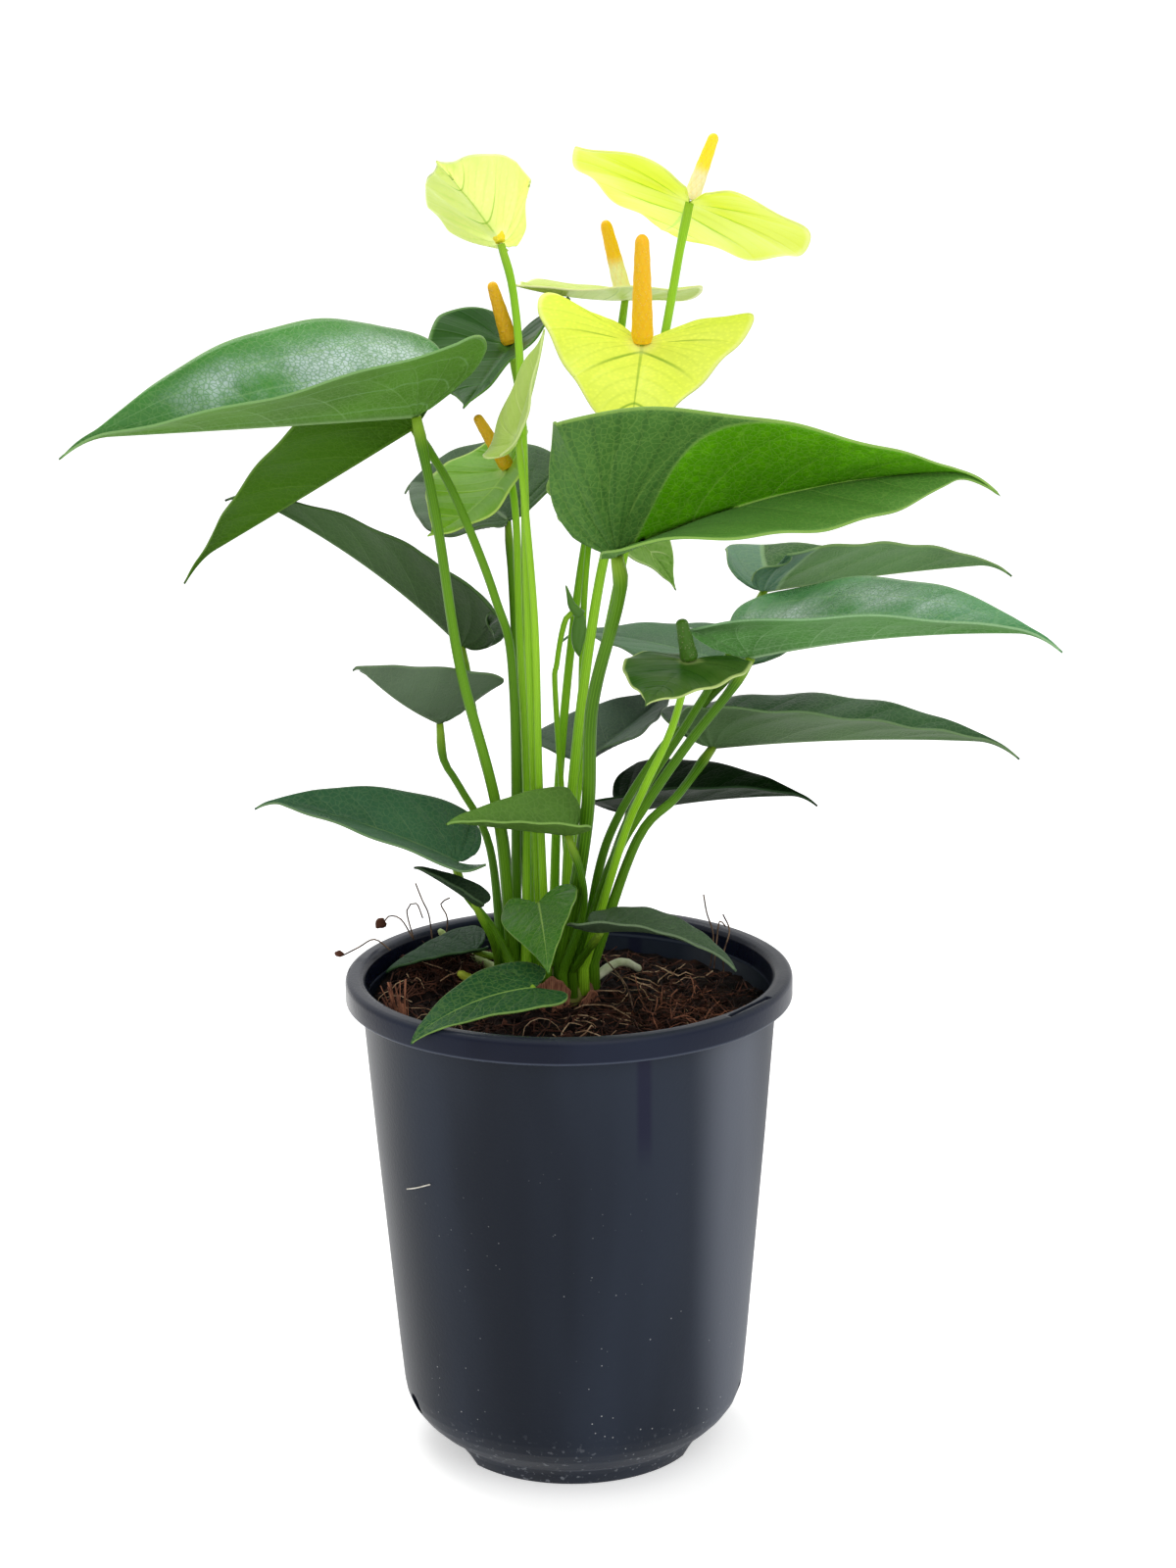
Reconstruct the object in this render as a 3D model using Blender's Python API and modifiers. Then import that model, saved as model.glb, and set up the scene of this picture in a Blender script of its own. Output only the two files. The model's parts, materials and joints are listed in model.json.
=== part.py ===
"""A potted anthurium: folded heart-shaped leaves and spathe flowers on long stalks, which
rise from one short crown in the peat and coir of a round black nursery pot.

Lengths below are millimetres until scaled by MM, and angles are degrees. Places are measured
from the pot's own axis, with z = 0 at the underside of its foot.
"""

import math
from collections import namedtuple

import bmesh
import bpy
from mathutils import Matrix, Vector, noise

MM = 0.001
GAP = 0.3  # between pieces that rest on each other

# Driving dimensions
FRAME_SHIFT = (-1.0, -7.0)  # puts the middle of the whole plant on the frame's Z axis
RIM_RADIUS = 70.0
POT_HEIGHT = 156.0
SKIRT_BOTTOM = 148.0
WALL = 1.3
BODY_TOP_RADIUS = 65.0
FLOOR_Z = 14.0
FLOOR_THICKNESS = 2.5
FOOT_RADIUS = 40.5
FOOT_INNER_RADIUS = 37.0
NOTCH_HEIGHT = 12.0
NOTCH_HALF_WIDTH = 25.0
NOTCH_START = 28.0  # how far from the axis its cutter begins, inside the foot
NOTCH_REACH = 44.0
FOOT_TURN = 4.0
DRAIN_RADIUS = 3.6
DRAIN_AZIMUTH = 17.0  # of each drain hole, from the middle of its notch
POT_STEPS = 48
SOIL_Z = 143.0
MOUND_HEIGHT = 9.0
CROWN_CENTRE = (-7.0, 13.0)
CROWN_RADIUS = 17.0
CROWN_BOTTOM = 128.0
CROWN_TOP = 150.0
BLADE_THICKNESS = 0.8
SPATHE_THICKNESS = 0.8
STEM_STEP = 15.0  # between the rings of a stalk
STEM_RISE = 5.0  # every stalk leaves the crown upright for this far

# Half outlines of a blade of length 1, from its tip round one side to the stalk at (0, 0)
LEAF_OUTLINE = (
    (1.0, 0.0), (0.95, 0.01), (0.89, 0.022), (0.83, 0.055), (0.7, 0.13), (0.5, 0.225), (0.3, 0.3),
    (0.12, 0.345), (-0.03, 0.35), (-0.13, 0.31), (-0.18, 0.24), (-0.165, 0.16), (-0.1, 0.075),
    (0.0, 0.0),
)
YOUNG_OUTLINE = (
    (1.0, 0.0), (0.9, 0.05), (0.7, 0.14), (0.5, 0.225), (0.3, 0.3), (0.12, 0.345), (-0.03, 0.35),
    (-0.13, 0.31), (-0.18, 0.24), (-0.165, 0.16), (-0.1, 0.075), (0.0, 0.0),
)
SHORT_LOBE_OUTLINE = (
    (1.0, 0.0), (0.95, 0.01), (0.89, 0.022), (0.83, 0.055), (0.7, 0.13), (0.5, 0.225), (0.3, 0.3),
    (0.15, 0.32), (0.03, 0.29), (-0.04, 0.21), (-0.05, 0.1), (0.0, 0.0),
)
SPATHE_OUTLINE = (
    (1.0, 0.0), (0.93, 0.02), (0.84, 0.08), (0.7, 0.2), (0.5, 0.33), (0.3, 0.42), (0.1, 0.46),
    (-0.08, 0.45), (-0.22, 0.37), (-0.31, 0.24), (-0.31, 0.13), (-0.2, 0.04), (0.0, 0.0),
)
WINGED_OUTLINE = (
    (1.0, 0.0), (0.9, 0.03), (0.76, 0.12), (0.56, 0.26), (0.32, 0.41), (0.06, 0.55), (-0.13, 0.63),
    (-0.24, 0.62), (-0.27, 0.52), (-0.22, 0.34), (-0.14, 0.16), (-0.07, 0.05), (0.0, 0.0),
)
LEAF_SHAPES = {"leaf_large_right": (LEAF_OUTLINE, SHORT_LOBE_OUTLINE)}  # left half, right half
YOUNG_LENGTH = 50.0  # a leaf shorter than this has a blunter tip
SPATHE_SHAPES = {"flower_front": WINGED_OUTLINE}
VEIN_LEAN = 0.25  # where on the midrib the veins stop fanning from the stalk
# How long the lobes are, and how wide a half is at its widest, as shares of a blade's length
LEAF_LOBE, SPATHE_LOBE = 0.19, 0.32
LEAF_HALF, SPATHE_HALF = 0.33, 0.46

# at: where the blade meets its stalk. heading: the midrib's direction, 0 along +X.
# pitch: how far it rises. left, right: how far each half is folded up. droop: how far the
# midrib bends down by its tip. lobe: how far the lobes curl up. twist: roll by the tip.
# cup: how far each half curls up between its midrib and its margin.
Blade = namedtuple("Blade", "at heading pitch left right length width droop lobe twist cup colour")
# foot: where a stalk leaves the crown. via: the points that it passes. radius: its own.
Stalk = namedtuple("Stalk", "foot via radius")

LEAF_GREEN = (0.045, 0.14, 0.04)
PALE_GREEN = (0.12, 0.26, 0.09)
DARK_GREEN = (0.015, 0.05, 0.015)
TEAL_GREEN = (0.05, 0.17, 0.09)
GREY_GREEN = (0.11, 0.16, 0.12)

LEAVES = {
    "leaf_upper_left": (
        Blade((-43, -18, 333), -157, 0, 49, 47, 108, 1.14, -1, 14, -31, -25, LEAF_GREEN),
        Stalk((-17.5, 8), ((-21.5, 1, 206.5), (-32, -6, 255), (-37.5, -12.5, 298.5)), 2.1)),
    "leaf_left_hanging": (
        Blade((-45, 10, 325.5), 158, -31, 39, 35, 94, 1.01, -1, 35, 1, -11, LEAF_GREEN),
        Stalk((-16.5, 12.5), ((-16, 5, 246), (-21, -5, 276), (-33.5, -4, 309)), 1.8)),
    "leaf_left_rising": (
        Blade((-33, 42, 251), 176, 46, 44, 21, 91, 1.02, 22, 68, 4, -7, DARK_GREEN),
        Stalk((-19, 18), ((-20, 28, 190), (-27.5, 38, 219.5)), 1.8)),
    "leaf_left_grey": (
        Blade((-39.5, 20, 231), -117, 23, 46, 35, 61, 1.18, -15, 35, 3, -13, GREY_GREEN),
        Stalk((-21, 12.5), ((-24.5, 16.5, 191.5), (-33.5, 18.5, 210.5), (-38.5, 19, 219.5)), 1.6)),
    "leaf_large_right": (
        Blade((15.5, -45, 295.5), 7, 25, 110, 14, 117, 1.21, 29, 27, 52, 3, LEAF_GREEN),
        Stalk((-2, 4.5), ((6, -11, 207), (8, -27, 247), (16, -40, 282)), 2.6)),
    "leaf_right_upper": (
        Blade((63, 34, 269), 15, 6, 19, 34, 84, 1.08, 6, 73, -9, -4, LEAF_GREEN),
        Stalk((5, 14.5), ((18.5, 4, 202), (37, -3, 235), (48, 12, 248.5)), 1.7)),
    "leaf_right_middle": (
        Blade((56, -18, 259), -27, 16, 34, 36, 99, 1.08, 14, 41, 9, -21, TEAL_GREEN),
        Stalk((3, 7), ((14, -1, 191), (24.5, -6, 211), (38, -11, 232), (50, -15, 248.5)), 2.0)),
    "leaf_right_rear": (
        Blade((55.5, 52, 241), 141, 8, 9, 17, 73, 1.03, 11, 35, 1, -10, GREY_GREEN),
        Stalk((5, 19), ((12.5, 17, 192.5), (28.5, 20, 220), (40, 36, 228)), 1.7)),
    "leaf_right_lower": (
        Blade((46.5, 30, 219.5), 1, 5, 19, 42, 98, 0.98, 10, 36, 18, -13, TEAL_GREEN),
        Stalk((7.5, 9), ((22, 9, 195.5), (34.5, 12, 208.5)), 1.9)),
    "leaf_right_dark": (
        Blade((20, 42, 195.5), -20, 16, 38, 30, 64, 1.01, 13, 43, -4, -11, DARK_GREEN),
        Stalk((2, 25), ((16.5, 32, 185),), 1.6)),
    "leaf_rear_grey": (
        Blade((7.5, 42, 213), 57, 13, 25, 36, 57, 1.03, -2, 37, 10, -12, GREY_GREEN),
        Stalk((-3, 27.5), ((6, 37, 200),), 1.7)),
    "leaf_rear_left": (
        Blade((-17.5, 46, 290.5), 122, 17, 7, 55, 67, 1.11, 28, 38, -21, -20, PALE_GREEN),
        Stalk((-12.5, 27), ((-15, 34, 207.5), (-16, 40.5, 254)), 1.5)),
    "leaf_lower_left": (
        Blade((-35, -4, 192.5), -179, 28, 15, 35, 65, 0.99, 17, 58, -13, -9, LEAF_GREEN),
        Stalk((-17.5, 3.5), ((-23.5, 3, 168.5), (-32, -1.5, 182)), 1.6)),
    "leaf_young_front": (
        Blade((0, -12, 203), 190, 10, 25, 50, 38, 1.2, 0, 26, 0, 0, PALE_GREEN),
        Stalk((-2, -1.5), ((4.5, -6, 176.5), (4, -11, 190.5)), 1.5)),
    "leaf_heart_front": (
        Blade((-9, -13, 181.5), -85, -4, 21, -25, 36, 1, 28, 28, 16, 0, PALE_GREEN),
        Stalk((-7, -1), ((-10, -4, 167),), 1.4)),
    "leaf_over_rim": (
        Blade((-11, -44, 164), -159, 2, -4, 16, 41, 1.02, 36, 7, -9, 0, PALE_GREEN),
        Stalk((-12, -1.5), ((-11, -22, 162),), 1.3)),
    "leaf_on_soil_left": (
        Blade((-30, 20, 156), 185, -5, 20, 25, 29, 1.2, 10, 20, 0, 0, DARK_GREEN),
        Stalk((-22.5, 15.5), (), 1.1)),
    "leaf_on_soil_right": (
        Blade((10, -21, 174.5), -25, 14, 14, 25, 46, 0.92, 43, 31, 1, 0, LEAF_GREEN),
        Stalk((1, 0), (), 1.4)),
    "leaf_small_left": (
        Blade((-29, -14, 182), 165, 35, 35, 30, 22, 0.9, 10, 20, 0, 0, DARK_GREEN),
        Stalk((-22, 8.5), ((-24, -5, 168),), 1.2)),
}

YELLOW = (0.75, 0.85, 0.06)
CREAM_GREEN = (0.62, 0.75, 0.2)
AGED_GREEN = (0.16, 0.38, 0.03)
DEEP_GREEN = (0.03, 0.1, 0.015)
SPADIX_ORANGE = (0.85, 0.35, 0.02)
SPADIX_GREEN = (0.1, 0.22, 0.02)

# lean: the spadix's direction. reach: its length. girth: its radius.
Spadix = namedtuple("Spadix", "lean reach girth colour")

FLOWERS = {
    "flower_hooded": (
        Blade((-17.5, 6, 381), -116, 36, 66, 1, 49, 1.08, 4, 46, -4, 30, CREAM_GREEN),
        Stalk((-8.5, 8), ((-10, 4, 215), (-11, -2.5, 266), (-12, -4, 338), (-14, 3, 366.5)), 1.7),
        Spadix((-0.25, 0.5, 0.85), 20, 1.8, SPADIX_ORANGE)),
    "flower_top": (
        Blade((39.5, 22, 391.5), 95, -18, 22, -24, 75, 1.11, -14, 2, 5, 7, YELLOW),
        Stalk((0, 15.5), ((3.5, 16, 212), (16.5, 21.5, 273), (32, 28, 351), (36.5, 25, 376.5)), 1.9),
        Spadix((0.36, 0.1, 0.93), 21, 2.5, SPADIX_ORANGE)),
    "flower_front": (
        Blade((24.5, 6, 350.5), -97, -28, 1, 11, 55, 0.95, 5, -1, 5, 5, YELLOW),
        Stalk((-1.5, 9.5), ((2, 8, 214), (10.5, 7.5, 276), (22, 6.5, 324.5)), 2.0),
        Spadix((0.0, -0.15, 1.0), 33, 3.3, SPADIX_ORANGE)),
    "flower_rear": (
        Blade((20.5, 62, 358), -132, 5, 11, 8, 53, 1.13, -10, -6, -2, 1, CREAM_GREEN),
        Stalk((-5, 21), ((-2.5, 26, 209.5), (4.5, 38, 270), (16, 52, 330.5)), 1.7),
        Spadix((-0.24, 0.05, 0.97), 25, 2.8, SPADIX_ORANGE)),
    "flower_aged_dark": (
        Blade((-15.5, 40, 346.5), -106, -17, 26, 9, 52, 1.04, -6, 6, 10, 24, DEEP_GREEN),
        Stalk((-11, 18), ((-12, 20, 211), (-12.5, 31, 259), (-12, 37, 317.5)), 1.6),
        Spadix((-0.28, 0.0, 0.96), 20, 2.6, SPADIX_ORANGE)),
    "flower_aged_green": (
        Blade((-16.5, 26, 310), -128, -37, 34, -15, 43, 1.23, -33, 30, -44, 30, AGED_GREEN),
        Stalk((-13.5, 5.5), ((-12.5, 10.5, 213.5), (-14, 14, 262.5), (-14.5, 16, 296)), 1.6),
        Spadix((-0.5, 0.0, 0.86), 19, 2.4, SPADIX_ORANGE)),
    "flower_folded": (
        Blade((-13, -17, 326), 29, 68, 7, 37, 33, 1.01, -11, 57, 0, -18, CREAM_GREEN),
        Stalk((-7, 3.5), ((-8.5, -1, 216.5), (-9, -6.5, 267), (-11.5, -10, 306.5)), 1.5),
        None),
    "flower_hidden": (
        Blade((9, 36, 295.5), 3, -26, 67, -23, 38, 0.86, 38, -47, 3, 5, AGED_GREEN),
        Stalk((-1, 23), ((4, 23, 214), (6, 26, 265)), 1.4),
        Spadix((0.31, -0.7, 0.64), 12, 2.2, SPADIX_GREEN)),
    "flower_young": (
        Blade((36.5, -49, 264.5), -112, -4, 0, 2, 38, 1.05, 6, -15, -5, 0, AGED_GREEN),
        Stalk((4.5, 3), ((17, -8, 200), (23.5, -20, 219.5), (31.5, -30, 240)), 1.6),
        Spadix((-0.2, 0.0, 0.98), 12.5, 2.6, SPADIX_GREEN)),
}
SPADIX_LIFT = 1.7  # between a spathe's stalk point and the foot of its spadix
STALK_DROP = 1.35  # between the top of a flower's stalk and its spathe's stalk point

BUD_PLACE = (5, 20, 267)
BUD_LENGTH = 13.0
BUD_RADIUS = 2.2
BUD_STALK = Stalk((1.5, 19.5), ((-3, 20, 236), (-2.5, 20, 250), (0.5, 20, 264)), 1.2)

STALK_GREEN = (0.17, 0.37, 0.02)
ROOTS = {
    "root_left": (((-23, 19.5, 150), (-31, 30, 151.5), (-38, 37, 154), (-42, 40, 157.5)), 1.6),
    "root_stub": (((-24.5, 9.5, 148.5), (-30, 9, 150), (-35, 8, 153)), 1.9),
    "root_right": (((10.5, 17.5, 149), (14.5, 21, 151), (18.5, 25.5, 150), (23, 31, 147)), 1.5),
}
ROOT_GREEN = (0.3, 0.42, 0.14)


def collection(name):
    """A collection of this name in the scene."""
    made = bpy.data.collections.new(name)
    bpy.context.scene.collection.children.link(made)
    return made


def material(name, colour, roughness=0.5):
    """A Principled material of one colour."""
    made = bpy.data.materials.new(name)
    made.use_nodes = True
    shader = made.node_tree.nodes["Principled BSDF"]
    shader.inputs["Base Color"].default_value = (*colour, 1.0)
    shader.inputs["Roughness"].default_value = roughness
    shader.inputs["Metallic"].default_value = 0.0
    return made


def add_object(name, data, into, finish=None):
    """An object of this mesh or curve, on the plant's frame."""
    made = bpy.data.objects.new(name, data)
    into.objects.link(made)
    made.parent = FRAME
    if finish:
        data.materials.append(finish)
    return made


def metres(point):
    return Vector(point) * MM


def hide_cutter(cutter):
    cutter.hide_render = True
    cutter.display_type = "WIRE"


def turned(name, profile, into, finish, steps):
    """A solid turned from a profile of (radius, height), read down its outer side."""
    mesh = bpy.data.meshes.new(name)
    points = [metres((radius, 0.0, height)) for radius, height in profile]
    mesh.from_pydata(points, [(i, i + 1) for i in range(len(points) - 1)], [])
    made = add_object(name, mesh, into, finish)
    screw = made.modifiers.new("turn", "SCREW")
    screw.axis = "Z"
    screw.steps = steps
    screw.render_steps = steps
    screw.use_merge_vertices = True
    screw.merge_threshold = 0.0001
    return made


def cut(target, cutter):
    boolean = target.modifiers.new("cut", "BOOLEAN")
    boolean.operation = "DIFFERENCE"
    boolean.solver = "EXACT"
    boolean.object = cutter


def join(target, other):
    """A union. The exact solver loses some thin curved blades, so this one is MANIFOLD."""
    boolean = target.modifiers.new("join", "BOOLEAN")
    boolean.operation = "UNION"
    boolean.solver = "MANIFOLD"
    boolean.object = other


def evaluated_mesh(source):
    """The mesh that an object's modifiers make, in world space."""
    graph = bpy.context.evaluated_depsgraph_get()
    graph.update()
    mesh = bpy.data.meshes.new_from_object(source.evaluated_get(graph))
    mesh.transform(source.matrix_world)
    return mesh


# --- the pot --------------------------------------------------------------------------------


def make_pot():
    """A round injection-moulded pot: a tapered wall, a rolled rim, and a floor on a foot ring."""
    inner_top = BODY_TOP_RADIUS - WALL
    floor_top = FLOOR_Z + FLOOR_THICKNESS
    profile = (
        (0.0, floor_top), (50.5, floor_top), (53.2, 22.0), (54.5, 35.0), (inner_top - 0.3, SKIRT_BOTTOM),
        (inner_top, POT_HEIGHT - 1.6), (inner_top + 1.0, POT_HEIGHT - 0.4),
        (inner_top + 2.4, POT_HEIGHT), (RIM_RADIUS - 1.4, POT_HEIGHT),
        (RIM_RADIUS, POT_HEIGHT - 1.6), (RIM_RADIUS, SKIRT_BOTTOM), (BODY_TOP_RADIUS, SKIRT_BOTTOM),
        (55.8, 35.0), (54.6, 22.0), (52.6, 15.0), (50.2, 11.6), (44.2, 6.4), (FOOT_RADIUS, 0.0),
        (FOOT_INNER_RADIUS, 0.0), (FOOT_INNER_RADIUS + 1.0, FLOOR_Z), (0.0, FLOOR_Z),
    )
    pot = turned("pot", profile, PARTS, material("pot_plastic", (0.027, 0.034, 0.05), 0.5), POT_STEPS)
    for side in (0, 180):
        bpy.ops.mesh.primitive_cube_add(size=1.0)
        notch = bpy.context.object
        notch.name = f"notch_cutter_{side}"
        size = Matrix.Diagonal((*metres((NOTCH_REACH, 2 * NOTCH_HALF_WIDTH, NOTCH_HEIGHT + 2)), 1.0))
        middle = metres((NOTCH_START + NOTCH_REACH / 2, 0.0, NOTCH_HEIGHT / 2 - 1))
        turn = Matrix.Rotation(math.radians(side + FOOT_TURN), 4, "Z")
        notch.data.transform(turn @ Matrix.Translation(middle) @ size)
        claim_cutter(notch, pot)
        for drain in (-DRAIN_AZIMUTH, DRAIN_AZIMUTH):
            bpy.ops.mesh.primitive_cylinder_add(radius=DRAIN_RADIUS * MM, depth=24 * MM, vertices=14)
            hole = bpy.context.object
            hole.name = f"drain_cutter_{side}_{drain:.0f}"
            lay = Matrix.Rotation(math.radians(90), 4, "Y")
            place = Matrix.Translation(metres((53.0, 0.0, FLOOR_Z + FLOOR_THICKNESS + 1.5)))
            turn = Matrix.Rotation(math.radians(side + FOOT_TURN + drain), 4, "Z")
            hole.data.transform(turn @ place @ lay)
            claim_cutter(hole, pot)


def claim_cutter(cutter, target):
    """Moves a cutter made by an operator into the cutters' collection and cuts with it."""
    for holder in list(cutter.users_collection):
        holder.objects.unlink(cutter)
    CUTTERS.objects.link(cutter)
    cutter.parent = FRAME
    hide_cutter(cutter)
    cut(target, cutter)


# --- the growing mix ------------------------------------------------------------------------


def soil_height(x, y):
    """The height of the mix's top: nearly level, humped at the back left, and lumpy."""
    hump = math.exp(-((x + 44) ** 2 + (y - 30) ** 2) / 420.0)
    rise = math.exp(-((x - CROWN_CENTRE[0]) ** 2 + (y - CROWN_CENTRE[1]) ** 2) / 900.0)
    lumps = noise.noise(Vector((x, y, 3.0)) * 0.09) + 0.5 * noise.noise(Vector((x, y, 9.0)) * 0.2)
    return SOIL_Z + MOUND_HEIGHT * hump + 1.5 * rise + 1.3 * lumps


def make_substrate():
    """The peat and coir that fill the pot, with a socket for the crown."""
    side = GAP + 0.2
    bottom = FLOOR_Z + FLOOR_THICKNESS + GAP
    top_radius = BODY_TOP_RADIUS - WALL - side
    rings = (14.0, 28.0, 42.0, 54.0, top_radius - 0.8)
    profile = [(0.0, SOIL_Z)] + [(r, SOIL_Z) for r in rings]
    profile += [(top_radius - 1.2, 132.0), (54.0 - side, 35.0), (52.6 - side, 22.6)]
    profile += [(49.8, bottom), (0.0, bottom)]
    lump = turned("substrate_form", profile, CUTTERS, None, 36)
    mesh = evaluated_mesh(lump)
    bpy.data.objects.remove(lump)
    for vertex in mesh.vertices:
        if vertex.co.z > (SOIL_Z - 1) * MM:
            x = (vertex.co.x - FRAME.location.x) / MM
            y = (vertex.co.y - FRAME.location.y) / MM
            vertex.co.z = soil_height(x, y) * MM
    mesh.transform(FRAME.matrix_world.inverted())
    mesh.materials.clear()
    substrate = add_object("substrate", mesh, PARTS, material("peat_and_coir", (0.03, 0.02, 0.015), 0.95))
    bpy.ops.mesh.primitive_cylinder_add(
        radius=(CROWN_RADIUS + GAP) * MM, depth=60 * MM, vertices=24,
        location=metres((*CROWN_CENTRE, CROWN_BOTTOM - GAP + 30)))
    socket = bpy.context.object
    socket.name = "crown_socket_cutter"
    claim_cutter(socket, substrate)


def make_crown():
    """The short stem that carries every stalk, and the dry papery sheath round its foot."""
    x, y = CROWN_CENTRE
    profile = (
        (0.0, CROWN_TOP), (CROWN_RADIUS - 0.6, CROWN_TOP), (CROWN_RADIUS, CROWN_TOP - 1.0),
        (CROWN_RADIUS - 1.5, CROWN_BOTTOM + 3), (CROWN_RADIUS - 5, CROWN_BOTTOM), (0.0, CROWN_BOTTOM),
    )
    crown = turned("crown", profile, PARTS, material("crown_green", (0.16, 0.2, 0.05), 0.6), 24)
    crown.location = metres((x, y, 0.0))


# --- stalks, roots --------------------------------------------------------------------------


def smooth_route(points, step):
    """Points every step or so along the smooth curve through these points."""
    ends = [points[0] * 2 - points[1]] + points + [points[-1] * 2 - points[-2]]
    route = []
    for before, start, end, after in zip(ends, ends[1:], ends[2:], ends[3:]):
        count = max(1, round((end - start).length / step))
        for i in range(count):
            t = i / count
            route.append(0.5 * (
                2 * start + (end - before) * t
                + (2 * before - 5 * start + 4 * end - after) * t ** 2
                + (3 * start - before - 3 * end + after) * t ** 3))
    return route + [points[-1]]


def tube(name, points, radii, into, finish, sides):
    """A bevelled curve through these points, with flat caps."""
    data = bpy.data.curves.new(name, "CURVE")
    data.dimensions = "3D"
    data.bevel_depth = MM
    data.bevel_resolution = sides // 2 - 2
    data.use_fill_caps = True
    spline = data.splines.new("POLY")
    spline.points.add(len(points) - 1)
    for knot, point, radius in zip(spline.points, points, radii):
        knot.co = (*metres(point), 1.0)
        knot.radius = radius
    return add_object(name, data, into, finish)


def stalk_route(stalk, end):
    """The smooth route of a stalk from the crown's top to its end."""
    foot = Vector((*stalk.foot, CROWN_TOP + GAP))
    rise = foot + Vector((0, 0, STEM_RISE))
    via = [Vector(point) for point in stalk.via]
    return [foot] + smooth_route([rise] + via + [Vector(end)], STEM_STEP)


# --- blades ---------------------------------------------------------------------------------

STRAIGHT = 1e-4  # a bend too slight to see, in place of none


def blade_point(blade, lobe_length, half_width, x, y, side):
    """The place of the flat point (x, y) of a blade of length 1 once folded, cupped and bent."""
    y *= blade.width
    bend = math.radians(blade.droop if x > 0 else -blade.lobe / lobe_length) or STRAIGHT
    start = math.radians(blade.pitch)
    slope = start - bend * x
    along = (math.sin(start) - math.sin(slope)) / bend
    up = (math.cos(slope) - math.cos(start)) / bend
    curl = math.radians(blade.cup) / (half_width * blade.width) or STRAIGHT
    fold = math.radians((blade.left if side > 0 else blade.right) + side * blade.twist * x)
    across = (math.sin(fold + curl * y) - math.sin(fold)) / curl
    lift = (math.cos(fold) - math.cos(fold + curl * y)) / curl
    local = Vector((along - math.sin(slope) * lift, side * across, up + math.cos(slope) * lift))
    turn = Matrix.Rotation(math.radians(blade.heading), 3, "Z")
    return Vector(blade.at) + turn @ (local * blade.length)


def blade_mesh(name, blade, outlines, lobe_length, half_width):
    """The open middle surface of a blade, its rows laid along the side veins."""
    columns = (0.0, 0.5, 1.0)
    mesh = bpy.data.meshes.new(name)
    built = bmesh.new()
    for side, outline in zip((1, -1), outlines):
        rows = []
        for x, y in outline[:-1]:  # the row before the last already ends at the stalk
            foot = max(0.0, (x - VEIN_LEAN) / (1 - VEIN_LEAN))
            row = []
            for share in columns:
                place = (foot + (x - foot) * share, y * share, side)
                point = blade_point(blade, lobe_length, half_width, *place)
                row.append(built.verts.new(metres(point)))
            rows.append(row)
        for upper, lower in zip(rows, rows[1:]):
            for i in range(len(columns) - 1):
                corners = (upper[i], upper[i + 1], lower[i + 1], lower[i])
                built.faces.new(corners if side > 0 else corners[::-1])
    bmesh.ops.remove_doubles(built, verts=built.verts, dist=1e-5)
    bmesh.ops.dissolve_degenerate(built, dist=1e-6, edges=built.edges)
    bmesh.ops.recalc_face_normals(built, faces=built.faces)
    built.to_mesh(mesh)
    built.free()
    return mesh


def thicken(target, thickness):
    solidify = target.modifiers.new("thickness", "SOLIDIFY")
    solidify.thickness = thickness * MM
    solidify.offset = 0.0
    solidify.use_even_offset = False


def make_leaf(name, blade, stalk):
    """A leaf: its blade and its stalk, grown as one piece."""
    finish = material(name + "_green", blade.colour, 0.4)
    outline = YOUNG_OUTLINE if blade.length < YOUNG_LENGTH else LEAF_OUTLINE
    outlines = LEAF_SHAPES.get(name, (outline, outline))
    surface = blade_mesh(name, blade, outlines, LEAF_LOBE, LEAF_HALF)
    leaf = add_object(name, surface, PARTS, finish)
    thicken(leaf, BLADE_THICKNESS)
    route = stalk_route(stalk, blade.at)
    heading = (route[-1] - route[-2]).normalized()
    route[-1] = route[-1] + heading * (BLADE_THICKNESS / 2 + 0.3)
    radii = [stalk.radius * (1.0 - 0.2 * i / len(route)) for i in range(len(route))]
    rod = tube(name + "_rod", route, radii, CUTTERS, None, 6)
    stem = add_object(name + "_stalk", welded_copy(rod), CUTTERS)
    bpy.data.objects.remove(rod)
    hide_cutter(stem)
    join(leaf, stem)


def welded_copy(rod):
    """A curve's mesh in the plant's frame, its caps welded to its sides."""
    mesh = evaluated_mesh(rod)
    mesh.transform(FRAME.matrix_world.inverted())
    built = bmesh.new()
    built.from_mesh(mesh)
    bmesh.ops.remove_doubles(built, verts=built.verts, dist=1e-6)
    built.to_mesh(mesh)
    built.free()
    return mesh


# --- flowers --------------------------------------------------------------------------------


def make_spadix(name, start, spadix):
    """The finger of tiny flowers that stands on a spathe."""
    profile = [(0.0, spadix.reach)]
    for share, width in ((0.97, 0.45), (0.88, 0.72), (0.6, 0.9), (0.25, 1.0), (0.08, 0.85), (0.0, 0.5)):
        profile.append((spadix.girth * width, spadix.reach * share))
    profile.append((0.0, 0.0))
    made = turned(name, profile, PARTS, material(name + "_flesh", spadix.colour, 0.6), 10)
    lean = Vector(spadix.lean).normalized()
    made.rotation_euler = lean.to_track_quat("Z", "Y").to_euler()
    made.location = metres(Vector(start) + lean * SPADIX_LIFT)


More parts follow.
